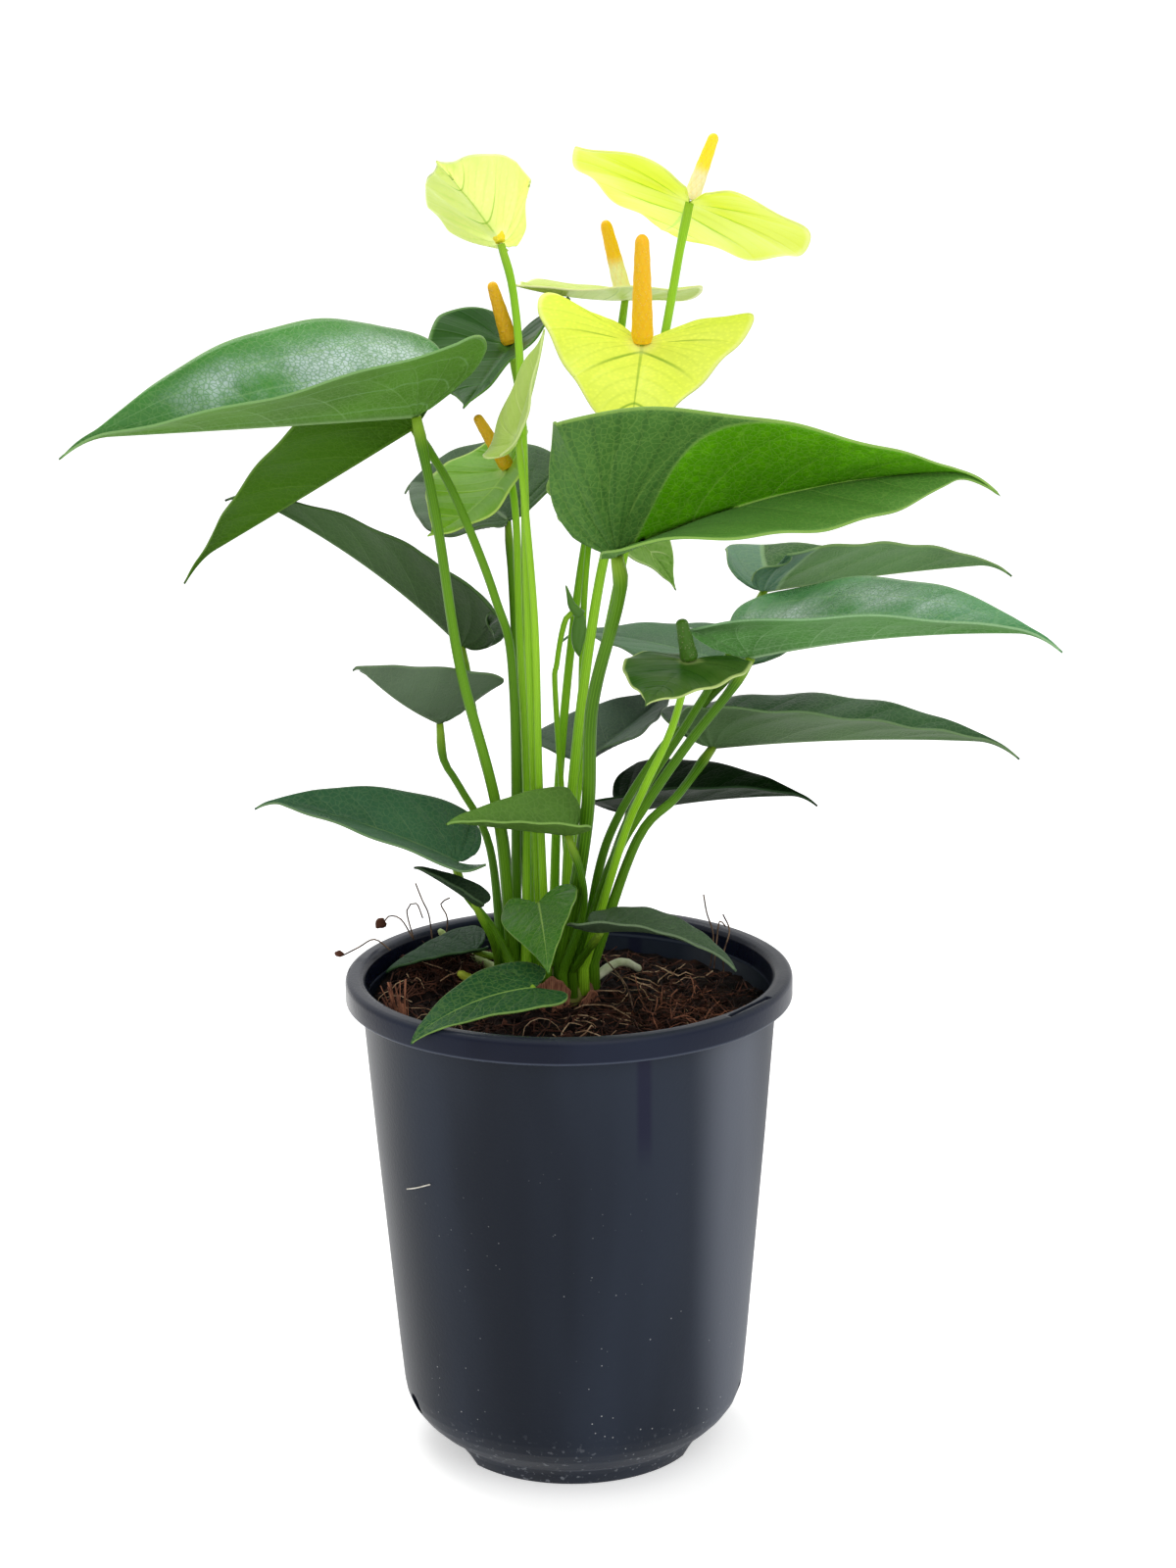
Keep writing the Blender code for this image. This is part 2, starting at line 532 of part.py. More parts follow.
def make_flower(name, blade, stalk, spadix):
    """A flower: its stalk, the spathe at the stalk's top, and the spadix on that."""
    finish = material(name + "_bract", blade.colour, 0.4)
    outline = SPATHE_SHAPES.get(name, SPATHE_OUTLINE)
    surface = blade_mesh(name, blade, (outline, outline), SPATHE_LOBE, SPATHE_HALF)
    spathe = add_object(name + "_spathe", surface, PARTS, finish)
    thicken(spathe, SPATHE_THICKNESS)
    route = stalk_route(stalk, blade.at)
    heading = (route[-1] - route[-2]).normalized()
    route[-1] = route[-1] - heading * STALK_DROP
    radii = [stalk.radius * (1.0 - 0.15 * i / len(route)) for i in range(len(route))]
    radii[-1] = 0.5 * radii[-1]
    tube(name + "_stalk", route, radii, PARTS, material(name + "_stalk_green", STALK_GREEN, 0.45), 6)
    if spadix:
        make_spadix(name + "_spadix", blade.at, spadix)


def make_bud():
    """A young flower that still hangs closed from the bend of its stalk."""
    route = stalk_route(BUD_STALK, BUD_PLACE)
    radii = [BUD_STALK.radius] * len(route)
    tube("flower_bud_stalk", route, radii, PARTS, material("bud_stalk_green", STALK_GREEN, 0.45), 6)
    top = -BUD_STALK.radius - GAP - 0.1
    profile = [(0.0, top)]
    for share, width in ((0.06, 0.6), (0.25, 1.0), (0.6, 0.7), (0.9, 0.25)):
        profile.append((BUD_RADIUS * width, top - BUD_LENGTH * share))
    profile.append((0.0, top - BUD_LENGTH))
    bud = turned("flower_bud", profile, PARTS, material("bud_green", AGED_GREEN, 0.4), 8)
    bud.location = metres(BUD_PLACE)


def make_roots():
    finish = material("aerial_root", ROOT_GREEN, 0.6)
    for name, (points, radius) in ROOTS.items():
        route = smooth_route([Vector(point) for point in points], 5.0)
        radii = [radius * (1.0 - 0.3 * i / len(route)) for i in range(len(route))]
        tube(name, route, radii, PARTS, finish, 8)


for leftover in list(bpy.data.objects):
    bpy.data.objects.remove(leftover)
PARTS = collection("potted_anthurium")
CUTTERS = collection("cutters")
FRAME = bpy.data.objects.new("plant_frame", None)
PARTS.objects.link(FRAME)
FRAME.location = metres((*FRAME_SHIFT, 0.0))
bpy.context.view_layer.update()

make_pot()
make_substrate()
make_crown()
make_roots()
for leaf_name, leaf_parts in LEAVES.items():
    make_leaf(leaf_name, *leaf_parts)
for flower_name, flower_parts in FLOWERS.items():
    make_flower(flower_name, *flower_parts)
make_bud()
bpy.context.view_layer.update()
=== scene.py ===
"""Looks of a potted anthurium: folded leaves and spathe flowers on long stalks, in a round
black nursery pot. Places are in millimetres from the pot's own axis, with z = 0 at the foot.
"""

import json
import math
from collections import namedtuple

import bmesh
import bpy
import numpy as np
from mathutils import Euler, Matrix, Vector, noise


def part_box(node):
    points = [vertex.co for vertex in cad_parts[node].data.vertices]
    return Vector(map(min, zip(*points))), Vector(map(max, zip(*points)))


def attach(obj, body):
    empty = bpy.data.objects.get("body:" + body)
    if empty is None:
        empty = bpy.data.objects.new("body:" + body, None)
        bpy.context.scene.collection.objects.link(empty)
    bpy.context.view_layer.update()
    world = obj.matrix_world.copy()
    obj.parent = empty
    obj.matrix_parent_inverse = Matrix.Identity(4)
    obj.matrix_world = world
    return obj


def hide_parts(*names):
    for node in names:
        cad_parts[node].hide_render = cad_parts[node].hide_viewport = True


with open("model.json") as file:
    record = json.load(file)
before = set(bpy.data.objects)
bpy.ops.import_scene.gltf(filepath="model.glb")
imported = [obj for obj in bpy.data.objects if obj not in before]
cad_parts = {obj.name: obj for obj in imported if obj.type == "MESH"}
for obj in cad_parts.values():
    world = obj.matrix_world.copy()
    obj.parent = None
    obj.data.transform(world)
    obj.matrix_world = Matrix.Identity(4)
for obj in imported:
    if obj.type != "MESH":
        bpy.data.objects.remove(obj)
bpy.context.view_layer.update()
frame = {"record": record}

# --- the studio ---------------------------------------------------------------------------------
# A pale floor under an even white sky, one large soft lamp above and behind the left side, and a
# weak one in front. The camera stands a metre in front of the pot and looks down a little.

MM = 0.001
POT_LOW, POT_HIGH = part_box("pot")
AXIS = Vector(((POT_LOW.x + POT_HIGH.x) / 2, (POT_LOW.y + POT_HIGH.y) / 2, 0.0))
CAMERA_PLACE = Vector((0.0, -1000.0, 471.4))
CAMERA_DOWN, CAMERA_TURN, CAMERA_ROLL = (math.radians(angle) for angle in (14.33, -0.38, -0.64))
FILM_WIDTH, LENS = 36.0, 76.7
LAMP_TARGET = Vector((0.0, 0.0, 0.25))
SKY_LIGHT, FLOOR_GLOW = 0.8, 0.42
BLACK, WHITE = (0.0, 0.0, 0.0), (1.0, 1.0, 1.0)


def put_in_scene(name, data):
    made = bpy.data.objects.new(name, data)
    bpy.context.scene.collection.objects.link(made)
    return made


camera = put_in_scene("view", bpy.data.cameras.new("view"))
camera.data.sensor_width = FILM_WIDTH
camera.data.lens = LENS
camera.location = AXIS + CAMERA_PLACE * MM
look = Euler((math.pi / 2 - CAMERA_DOWN, 0.0, CAMERA_TURN)).to_matrix()
camera.rotation_euler = (Matrix.Rotation(CAMERA_ROLL, 3, look.col[2]) @ look).to_euler()
bpy.context.scene.camera = camera
bpy.context.scene.view_settings.view_transform = "Standard"


def soft_lamp(name, place, size, power):
    """A square area lamp that looks at the middle of the plant."""
    lamp = put_in_scene(name, bpy.data.lights.new(name, "AREA"))
    lamp.data.size = size
    lamp.data.energy = power
    lamp.location = place
    lamp.rotation_euler = (Vector(place) - LAMP_TARGET).to_track_quat("Z", "Y").to_euler()


soft_lamp("overhead_lamp", (-0.35, 0.55, 1.35), 0.8, 7.0)
soft_lamp("front_lamp", (0.5, -1.3, 1.0), 1.2, 6.0)


class Wire:
    """One output socket. Sums and products of wires add their own Math nodes."""

    def __init__(self, nodes, socket):
        self.nodes = nodes
        self.socket = socket

    def math(self, operation, *others):
        inputs = dict(enumerate((self, *others)))
        return self.nodes.node("ShaderNodeMath", {"operation": operation}, inputs)

    def __add__(self, other):
        return self.math("ADD", other)

    def __sub__(self, other):
        return self.math("SUBTRACT", other)

    def __rsub__(self, other):
        return self.nodes.node("ShaderNodeMath", {"operation": "SUBTRACT"}, {0: other, 1: self})

    def __mul__(self, other):
        return self.math("MULTIPLY", other)

    __radd__ = __add__
    __rmul__ = __mul__

    def between(self, low, high):
        """0 below low and 1 above high, with a smooth step between; falling if low > high."""
        ranges = {1: low, 2: high, 3: 0.0, 4: 1.0}
        if low > high:
            ranges = {1: high, 2: low, 3: 1.0, 4: 0.0}
        settings = {"interpolation_type": "SMOOTHSTEP"}
        return self.nodes.node("ShaderNodeMapRange", settings, {0: self, **ranges})

    def near(self, level, outer, inner):
        """1 within inner of this level, fading to 0 at outer."""
        return (self - level).math("ABSOLUTE").between(outer, inner)


class Nodes:
    """The node tree of a material or of the sky, and the one way in which its nodes are made."""

    def __init__(self, tree):
        self.tree = tree

    def node(self, kind, settings=None, inputs=None, output=0):
        """A new node of this kind: its settings first, then its sockets' values or links."""
        made = self.tree.nodes.new(kind)
        for key, value in (settings or {}).items():
            setattr(made, key, value)
        for key, value in (inputs or {}).items():
            socket = made.inputs[key]
            if isinstance(value, Wire):
                self.tree.links.new(value.socket, socket)
            elif isinstance(value, tuple) and len(value) < len(socket.default_value):
                socket.default_value = (*value, 1.0)
            else:
                socket.default_value = value
        return Wire(self, made.outputs[output])

    def as_background(self):
        """1 for what is seen straight, mirrored or through something clear, and 0 for its light."""
        seen = self.node("ShaderNodeLightPath", output="Is Camera Ray")
        for ray in ("Is Glossy Ray", "Is Transmission Ray"):
            seen = seen.math("MAXIMUM", self.node("ShaderNodeLightPath", output=ray))
        return seen


class Finish(Nodes):
    """A material with its Principled shader, and the patterns that its colours are made of."""

    def __init__(self, name, roughness=0.5, specular=0.5):
        self.material = bpy.data.materials.new(name)
        self.material.use_nodes = True
        super().__init__(self.material.node_tree)
        self.shader = self.tree.nodes["Principled BSDF"]
        self.shader.inputs["Roughness"].default_value = roughness
        self.shader.inputs["Specular IOR Level"].default_value = specular

    def blend(self, factor, first, second, mode="MIX"):
        """A colour between two colours."""
        settings = {"data_type": "RGBA", "blend_type": mode}
        return self.node("ShaderNodeMix", settings, {0: factor, 6: first, 7: second}, output=2)

    def position(self):
        return self.node("ShaderNodeTexCoord", output=3)

    def lumps(self, scale, detail=3.0, stretch=None):
        """Noise from 0 to 1 at so many lumps to the metre."""
        at = self.position()
        if stretch:
            at = self.node("ShaderNodeMapping", None, {"Vector": at, "Scale": stretch})
        inputs = {"Vector": at, "Scale": scale, "Detail": detail}
        return self.node("ShaderNodeTexNoise", None, inputs)

    def cells(self, scale, feature="F1"):
        """The distance to the nearest point or edge of scattered cells, so many to the metre."""
        inputs = {"Vector": self.position(), "Scale": scale}
        return self.node("ShaderNodeTexVoronoi", {"feature": feature}, inputs)

    def axes(self, vector, count):
        """The first few coordinates of a vector."""
        split = self.node("ShaderNodeSeparateXYZ", None, {0: vector})
        return [Wire(self, output) for output in split.socket.node.outputs[:count]]

    def across(self, layer="lie"):
        """The two coordinates that a mesh's UV map holds."""
        return self.axes(self.node("ShaderNodeUVMap", {"uv_map": layer}), 2)

    def paint(self, socket, wire):
        self.tree.links.new(wire.socket, self.shader.inputs[socket])

    def raise_by(self, height, strength, distance):
        """Relief too fine for the mesh."""
        inputs = {"Strength": strength, "Distance": distance, "Height": height}
        self.paint("Normal", self.node("ShaderNodeBump", None, inputs))


def srgb(red, green, blue):
    """A colour as it is seen, from 0 to 255, in the linear values that a shader takes."""
    linear = []
    for part in (red / 255, green / 255, blue / 255):
        linear.append(part / 12.92 if part <= 0.04045 else ((part + 0.055) / 1.055) ** 2.4)
    return tuple(linear)


world = bpy.data.worlds.new("sky")
bpy.context.scene.world = world
world.use_nodes = True
world.node_tree.nodes.remove(world.node_tree.nodes["Background"])
sky = Nodes(world.node_tree)
light = sky.node("ShaderNodeBackground", None, {"Color": (1.0, 1.0, 0.99), "Strength": SKY_LIGHT})
white = sky.node("ShaderNodeBackground", None, {"Color": WHITE})
mixed = sky.node("ShaderNodeMixShader", None, {0: sky.as_background(), 1: light, 2: white})
sky.tree.links.new(mixed.socket, sky.tree.nodes["World Output"].inputs["Surface"])

floor_finish = Finish("floor_paint", roughness=0.9, specular=0.1)
floor_finish.shader.inputs["Base Color"].default_value = (0.95, 0.95, 0.95, 1.0)
floor_finish.shader.inputs["Emission Strength"].default_value = FLOOR_GLOW
floor_finish.paint("Emission Color", floor_finish.blend(floor_finish.as_background(), BLACK, WHITE))
bpy.ops.mesh.primitive_plane_add(size=120.0, location=(0.0, 0.0, 0.0))
floor = bpy.context.object
floor.name = "floor"
floor.data.materials.append(floor_finish.material)


# --- the pot ------------------------------------------------------------------------------------
# A nursery pot, injection-moulded in dark blue-black polypropylene: a thin tapered wall, a broad
# rolled rim with a label slot, a raised floor with drain holes, and a foot cut by two notches.

RIM_RADIUS = 70.0
POT_HEIGHT = 156.0
SKIRT_BOTTOM = 148.0
BODY_TOP_RADIUS = 65.0
WALL = 1.3
MOUTH_RADIUS = BODY_TOP_RADIUS - WALL
FOOT_TURN = 4.0  # degrees, of both notches round the pot
DRAIN_TURN = 17.0  # degrees, of each drain hole from the middle of its notch
SLOT_TURN = -36.0
NOTCH_REACH, DRAIN_REACH, SLOT_REACH = (28.0, 72.0), (40.0, 66.0), (66.4, 67.9)  # from the axis
DRAIN_RADIUS, DRAIN_HEIGHT = 3.6, 18.0
SLOT_HALF_WIDTH, SLOT_DEPTH = 11.0, 2.5
POT_SIDES = 180
CORNER_EASE = 0.35
POT_PROFILE = (
    (20.0, 16.5), (50.5, 16.5), (53.2, 22.0), (54.5, 35.0), (60.0, 103.0),
    (MOUTH_RADIUS - 0.3, SKIRT_BOTTOM), (MOUTH_RADIUS, POT_HEIGHT - 1.6),
    (MOUTH_RADIUS + 1.0, POT_HEIGHT - 0.4), (MOUTH_RADIUS + 2.4, POT_HEIGHT),
    (RIM_RADIUS - 1.4, POT_HEIGHT), (RIM_RADIUS - 0.4, POT_HEIGHT - 0.5),
    (RIM_RADIUS, POT_HEIGHT - 1.6), (RIM_RADIUS, SKIRT_BOTTOM + 0.5),
    (RIM_RADIUS - 1.0, SKIRT_BOTTOM), (BODY_TOP_RADIUS, SKIRT_BOTTOM + 0.4),
    (61.5, 103.0), (55.8, 35.0), (54.6, 22.0), (54.0, 18.5), (52.6, 15.0), (50.2, 11.6),
    (47.2, 8.6), (44.2, 6.4), (42.6, 4.0), (40.5, 0.0), (37.0, 0.0), (38.0, 14.0), (20.0, 14.0),
)
NOTCH = (
    (-24.0, -2.0), (24.0, -2.0), (24.6, 9.5), (22.5, 11.4), (19.0, 12.0),
    (-19.0, 12.0), (-22.5, 11.4), (-24.6, 9.5),
)
DRAIN = [
    (DRAIN_RADIUS * math.cos(angle), DRAIN_HEIGHT + DRAIN_RADIUS * math.sin(angle))
    for angle in np.arange(16) * math.pi / 8
]
SLOT = [
    (side * SLOT_HALF_WIDTH, POT_HEIGHT + up)
    for side, up in ((-1, -SLOT_DEPTH), (1, -SLOT_DEPTH), (1, 2.0), (-1, 2.0))
]

# points in millimetres, faces, and what the UV maps of the same names hold for each point
Piece = namedtuple("Piece", "points faces lie flat", defaults=(None, None))


def as_mesh(name, shape):
    mesh = bpy.data.meshes.new(name)
    points = np.asarray(shape.points, float) * MM + np.array(AXIS)
    mesh.from_pydata(points.tolist(), [], [tuple(int(i) for i in face) for face in shape.faces])
    return mesh


def add_piece(name, shape, finishes, slot, *nodes):
    """One piece of the plant or its pot, which rides with the whole and replaces these nodes."""
    mesh = as_mesh(name, shape)
    for finish in finishes:
        mesh.materials.append(finish.material)
    corners = np.empty(len(mesh.loops), np.int32)
    mesh.loops.foreach_get("vertex_index", corners)
    for layer_name, places in (("lie", shape.lie), ("flat", shape.flat)):
        if places is not None:
            layer = mesh.uv_layers.new(name=layer_name)
            layer.data.foreach_set("uv", np.asarray(places, np.float32)[corners].ravel())
    mesh.shade_smooth()
    made = put_in_scene(name, mesh)
    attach(made, "root")
    if nodes:
        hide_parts(*nodes)
    return made


def turned(profile):
    """A ring of revolution about the pot's axis, from a closed profile of (radius, height)."""
    sides = POT_SIDES
    points, faces = [], []
    for i, (radius, z) in enumerate(profile):
        j = (i + 1) % len(profile)
        for k in range(sides):
            angle = k * 2 * math.pi / sides
            points.append((radius * math.cos(angle), radius * math.sin(angle), z))
            n = (k + 1) % sides
            faces.append((i * sides + k, j * sides + k, j * sides + n, i * sides + n))
    return Piece(points, faces)


def rounded(profile):
    """A closed profile with each corner eased by three points."""
    eased = []
    count = len(profile)
    for i in range(count):
        before, here, after = (np.array(profile[(i + k) % count]) for k in (-1, 0, 1))
        back, ahead = before - here, after - here
        reach = min(CORNER_EASE, 0.3 * np.linalg.norm(back), 0.3 * np.linalg.norm(ahead))
        start = here + back / np.linalg.norm(back) * reach
        end = here + ahead / np.linalg.norm(ahead) * reach
        eased += [start, (start + end + 2 * here) / 4, end]
    return eased


def prism(outline, turn, start, end):
    """An outline of (across, up) pushed outwards from start to end, at this angle round the pot."""
    out = np.array((math.cos(math.radians(turn)), math.sin(math.radians(turn))))
    side = np.array((-out[1], out[0]))
    points = [(*(out * reach + side * u), z) for reach in (start, end) for u, z in outline]
    count = len(outline)
    faces = [tuple(range(count))[::-1], tuple(range(count, 2 * count))]
    faces += [(i, (i + 1) % count, count + (i + 1) % count, count + i) for i in range(count)]
    return Piece(points, faces)


def cut_away(target, shape, name):
    """Cuts a shape out of a piece, at once and for good."""
    tool = put_in_scene(name, as_mesh(name, shape))
    boolean = target.modifiers.new(name, "BOOLEAN")
    boolean.solver = "EXACT"
    boolean.object = tool
    graph = bpy.context.evaluated_depsgraph_get()
    graph.update()
    result = bpy.data.meshes.new_from_object(target.evaluated_get(graph))
    target.modifiers.clear()
    target.data = result
    bpy.data.objects.remove(tool)


def pot_plastic():
    """Satin plastic, blotched by the moulding, with a painted reflection as a pale band at the
    right, and scuffed low down.
    """
    made = Finish("pot_plastic", roughness=0.42, specular=0.13)
    east, _, height = made.axes(made.position(), 3)
    flow = made.lumps(16.0, 3.0, stretch=(1.0, 1.0, 0.2)).between(0.36, 0.66)
    skirt = height.between((SKIRT_BOTTOM - 0.5) * MM, (SKIRT_BOTTOM + 0.5) * MM)
    below = 1.0 - skirt
    colour = made.blend(flow, srgb(20, 26, 37), srgb(38, 45, 58))
    colour = made.blend(skirt, colour, made.blend(flow, srgb(10, 15, 33), srgb(25, 32, 50)))
    # painted highlight: the rim's top face made paler, as the light from above falls on it
    top = height.between((POT_HEIGHT - 1.5) * MM, POT_HEIGHT * MM)
    colour = made.blend(top, colour, srgb(44, 48, 60))
    # painted reflection: a pale vertical band on the right of the body, where the plastic mirrors
    # the light
    reflection_band = east.between(0.034, 0.048) * east.between(0.062, 0.052) * 0.28
    colour = made.blend(reflection_band * below * (0.5 + flow * 0.5), colour, srgb(150, 156, 170))
    specks = made.cells(300.0).between(0.085, 0.04) * made.lumps(20.0).between(0.48, 0.58)
    colour = made.blend(specks * height.between(0.13, 0.01), colour, srgb(170, 172, 175))
    scuffs = made.lumps(520.0, 5.0).between(0.6, 0.68) * height.between(0.026, 0.004)
    colour = made.blend(scuffs * 0.6, colour, srgb(140, 144, 152))
    streak = east.near(0.021, 0.003, 0.0012) * height.between(0.108, 0.125) * below
    colour = made.blend(streak * 0.6, colour, srgb(16, 12, 44))
    lip = height.near((SKIRT_BOTTOM + 0.6) * MM, 0.0006, 0.0002)
    colour = made.blend(lip * 0.5, colour, srgb(84, 92, 108))
    foot_edge = height.near(0.0065, 0.0007, 0.0002) * flow
    colour = made.blend(foot_edge * 0.5, colour, srgb(96, 100, 110))
    made.paint("Base Color", colour)
    made.paint("Roughness", 0.36 + flow * 0.16 - skirt * 0.14)
    made.raise_by(made.lumps(900.0, 2.0) + flow * 2.0, 0.18, 0.0003)
    return made


pot = add_piece("pot_body", turned(rounded(POT_PROFILE)), [pot_plastic()], "pot_plastic", "pot")
for turn in (FOOT_TURN, FOOT_TURN + 180.0):
    cut_away(pot, prism(NOTCH, turn, *NOTCH_REACH), "notch")
    for side in (-1, 1):
        cut_away(pot, prism(DRAIN, turn + side * DRAIN_TURN, *DRAIN_REACH), "drain")
cut_away(pot, prism(SLOT, SLOT_TURN, *SLOT_REACH), "label_slot")


# --- the growing mix ----------------------------------------------------------------------------
# Dark peat crumbs bound by red-brown coir fibre, pressed into the pot and heaped at the back left
# where a root has lifted it. Loose fibres lie on it, and two dry seeds hang there on their wisps.

SOIL_Z = 143.0
MOUND_HEIGHT = 9.0
MOUND_CENTRE = np.array((-44.0, 30.0))
MOUND_SPREAD, CROWN_SPREAD = 420.0, 900.0  # square millimetres
CROWN_RISE, LUMP_HEIGHT, CRUMB_HEIGHT = 1.5, 1.3, 1.5
CROWN_CENTRE = np.array((-7.0, 13.0))
CROWN_REACH = 15.0  # no loose fibre starts nearer to the crown's middle
SOIL_RADIUS = 63.2
LITTER_RADIUS = 61.0
RINGS, SPOKES = 84, 220
SOIL_WALL = ((62.0, 130.0), (53.8, 35.0), (49.8, 16.8))
chance = np.random.default_rng(7)


def soil_height(x, y):
    """The level of the mix: nearly flat, humped at the back left and round the crown, and lumpy."""
    hump = math.exp(-np.sum((MOUND_CENTRE - (x, y)) ** 2) / MOUND_SPREAD)
    rise = math.exp(-np.sum((CROWN_CENTRE - (x, y)) ** 2) / CROWN_SPREAD)
    lumps = noise.noise(Vector((x, y, 3.0)) * 0.09) + 0.5 * noise.noise(Vector((x, y, 9.0)) * 0.2)
    return SOIL_Z + MOUND_HEIGHT * hump + CROWN_RISE * rise + LUMP_HEIGHT * lumps


def crumb_height(x, y):
    """Soil level with its crumbs."""
    fine = noise.fractal(Vector((x, y, 0.0)) * 0.33, 0.9, 2.1, 5)
    grit = 0.4 * abs(noise.noise(Vector((x, y, 5.0)) * 1.3))
    return soil_height(x, y) + CRUMB_HEIGHT * fine + grit


def on_circle(radius, share):
    """The point on a circle at this share of a full turn."""
    return radius * math.cos(2 * math.pi * share), radius * math.sin(2 * math.pi * share)


def soil_shape():
    """A fine grid of rings over the mix, then down the inside of the pot to its floor."""
    points = [(0.0, 0.0, crumb_height(0.0, 0.0))]
    for ring in range(1, RINGS + 1):
        for spoke in range(SPOKES):
            x, y = on_circle(SOIL_RADIUS * ring / RINGS, spoke / SPOKES)
            points.append((x, y, crumb_height(x, y)))
    for radius, z in SOIL_WALL:
        points += [(*on_circle(radius, spoke / SPOKES), z) for spoke in range(SPOKES)]
    points.append((0.0, 0.0, SOIL_WALL[-1][1]))
    faces = []
    for spoke in range(SPOKES):
        after = (spoke + 1) % SPOKES
        faces.append((0, 1 + spoke, 1 + after))
        for ring in range(RINGS + len(SOIL_WALL) - 1):
            base = 1 + ring * SPOKES
            faces.append((base + spoke, base + SPOKES + spoke, base + SPOKES + after, base + after))
        last = len(points) - 1 - SPOKES
        faces.append((last + after, last + spoke, len(points) - 1))
    return Piece(points, faces)


def peat():
    made = Finish("peat", roughness=0.95, specular=0.15)
    crumbs = made.lumps(380.0, 6.0)
    colour = made.blend(crumbs.between(0.35, 0.75), srgb(7, 4, 4), srgb(36, 22, 18))
    colour = made.blend(made.lumps(90.0, 3.0).between(0.55, 0.8) * 0.6, colour, srgb(84, 50, 38))
    made.paint("Base Color", colour)
    made.raise_by(crumbs, 0.9, 0.0015)
    return made


peat_finish = peat()
add_piece("growing_mix", soil_shape(), [peat_finish], "peat_and_coir", "substrate")


def merged(shapes):
    """Several shapes as one."""
    points, faces, lie, count = [], [], [], 0
    for shape in shapes:
        points.append(np.asarray(shape.points, float))
        faces.extend(tuple(int(i) + count for i in face) for face in shape.faces)
        lie.append(np.zeros((len(shape.points), 2)) if shape.lie is None else np.asarray(shape.lie))
        count += len(shape.points)
    return Piece(np.concatenate(points), faces, np.concatenate(lie))


def smooth_route(points, step):
    """Points every step or so along the smooth curve through these points."""
    points = [np.asarray(point, float) for point in points]
    ends = [points[0] * 2 - points[1], *points, points[-1] * 2 - points[-2]]
    route = []
    for before, start, end, after in zip(ends, ends[1:], ends[2:], ends[3:]):
        count = max(1, round(float(np.linalg.norm(end - start)) / step))
        for t in np.arange(count) / count:
            route.append(0.5 * (
                2 * start + (end - before) * t
                + (2 * before - 5 * start + 4 * end - after) * t ** 2
                + (3 * start - before - 3 * end + after) * t ** 3))
    return np.array([*route, points[-1]])


def distance_along(route):
    return np.r_[0.0, np.cumsum(np.linalg.norm(np.diff(route, axis=0), axis=1))]


def tube_faces(rings, sides):
    """The faces between rings of points, and the two caps."""
    faces = []
    for i in range(rings - 1):
        for k in range(sides):
            n = (k + 1) % sides
            faces.append((i * sides + k, i * sides + n, (i + 1) * sides + n, (i + 1) * sides + k))
    faces.append(tuple(range(sides))[::-1])
    faces.append(tuple(range((rings - 1) * sides, rings * sides)))
    return faces


def rod(route, radii, sides, ridge=0.0, ridges=5):
    """A round stem along a route, with shallow ridges, closed at both ends."""
    route = np.asarray(route, float)
    radii = np.broadcast_to(np.asarray(radii, float), len(route))
    along = np.gradient(route, axis=0)
    along /= np.linalg.norm(along, axis=1)[:, None]
    across = np.cross(along[0], (0.3, 1.0, 0.1))
    angles = np.arange(sides) * 2 * math.pi / sides
    swell = 1.0 + ridge * np.cos(ridges * angles)
    travelled = distance_along(route)
    points, lie = [], []
    for place, ahead, radius, far in zip(route, along, radii, travelled):
        across = across - ahead * (across @ ahead)
        across /= np.linalg.norm(across)
        other = np.cross(ahead, across)
        ring = np.cos(angles)[:, None] * across + np.sin(angles)[:, None] * other
        points.append(place + ring * (radius * swell)[:, None])
        left = np.full(sides, (travelled[-1] - far) / 100)
        lie.append(np.stack([np.abs(angles / math.pi - 1.0), left], 1))
    return Piece(np.concatenate(points), tube_faces(len(route), sides), np.concatenate(lie))


FIBRE_STEP = 3.0
STRAYING, CURLING = 0.22, 0.16  # radians a fibre turns at its start, and further at each step
RIGHT_PAD = (33.0, -8.0)


def fibre(x, y, heading, length, thickness, lift):
    """One loose fibre that wanders over the mix and arches off it by this lift."""
    route = []
    turn = chance.normal(0.0, STRAYING)
    count = max(5, round(length / FIBRE_STEP))
    phase = chance.uniform(0.0, math.pi)
    for i in range(count):
        z = crumb_height(x, y) + thickness + lift * abs(math.sin(phase + math.pi * i / (count - 1)))
        route.append((x, y, z))
        turn = 0.8 * turn + chance.normal(0.0, CURLING)
        heading += turn
        x += length / count * math.cos(heading)
        y += length / count * math.sin(heading)
        if math.hypot(x, y) > LITTER_RADIUS:
            break
    if len(route) < 4:
        return None
    return rod(route, thickness * np.linspace(1.0, 0.5, len(route)), 5)


def place_within(spread, middle=(0.0, 0.0)):
    """A place anywhere in a round patch of the mix."""
    share, radius = chance.uniform(0.0, 1.0), spread * math.sqrt(chance.uniform(0.0, 1.0))
    x, y = on_circle(radius, share)
    return middle[0] + x, middle[1] + y


def fibres(name, finish, count, spread, length, thickness, lift, middle=(0.0, 0.0)):
    """Fibres strewn over a round patch of the mix, each drawn from these ranges."""
    strewn = []
    while len(strewn) < count:
        x, y = place_within(spread, middle)
        if math.hypot(x, y) > LITTER_RADIUS - 1 or np.hypot(*(CROWN_CENTRE - (x, y))) < CROWN_REACH:
            continue
        heading = chance.uniform(0.0, 2 * math.pi)
        made = fibre(x, y, heading, *(chance.uniform(*span) for span in (length, thickness, lift)))
        if made:
            strewn.append(made)
    add_piece(name, merged(strewn), [finish], "peat_and_coir")


def fibre_finish(name, dark, light):
    """Dry plant fibre, paler where it is worn."""
    made = Finish(name, roughness=0.8, specular=0.2)
    made.paint("Base Color", made.blend(made.lumps(220.0).between(0.35, 0.65), dark, light))
    return made


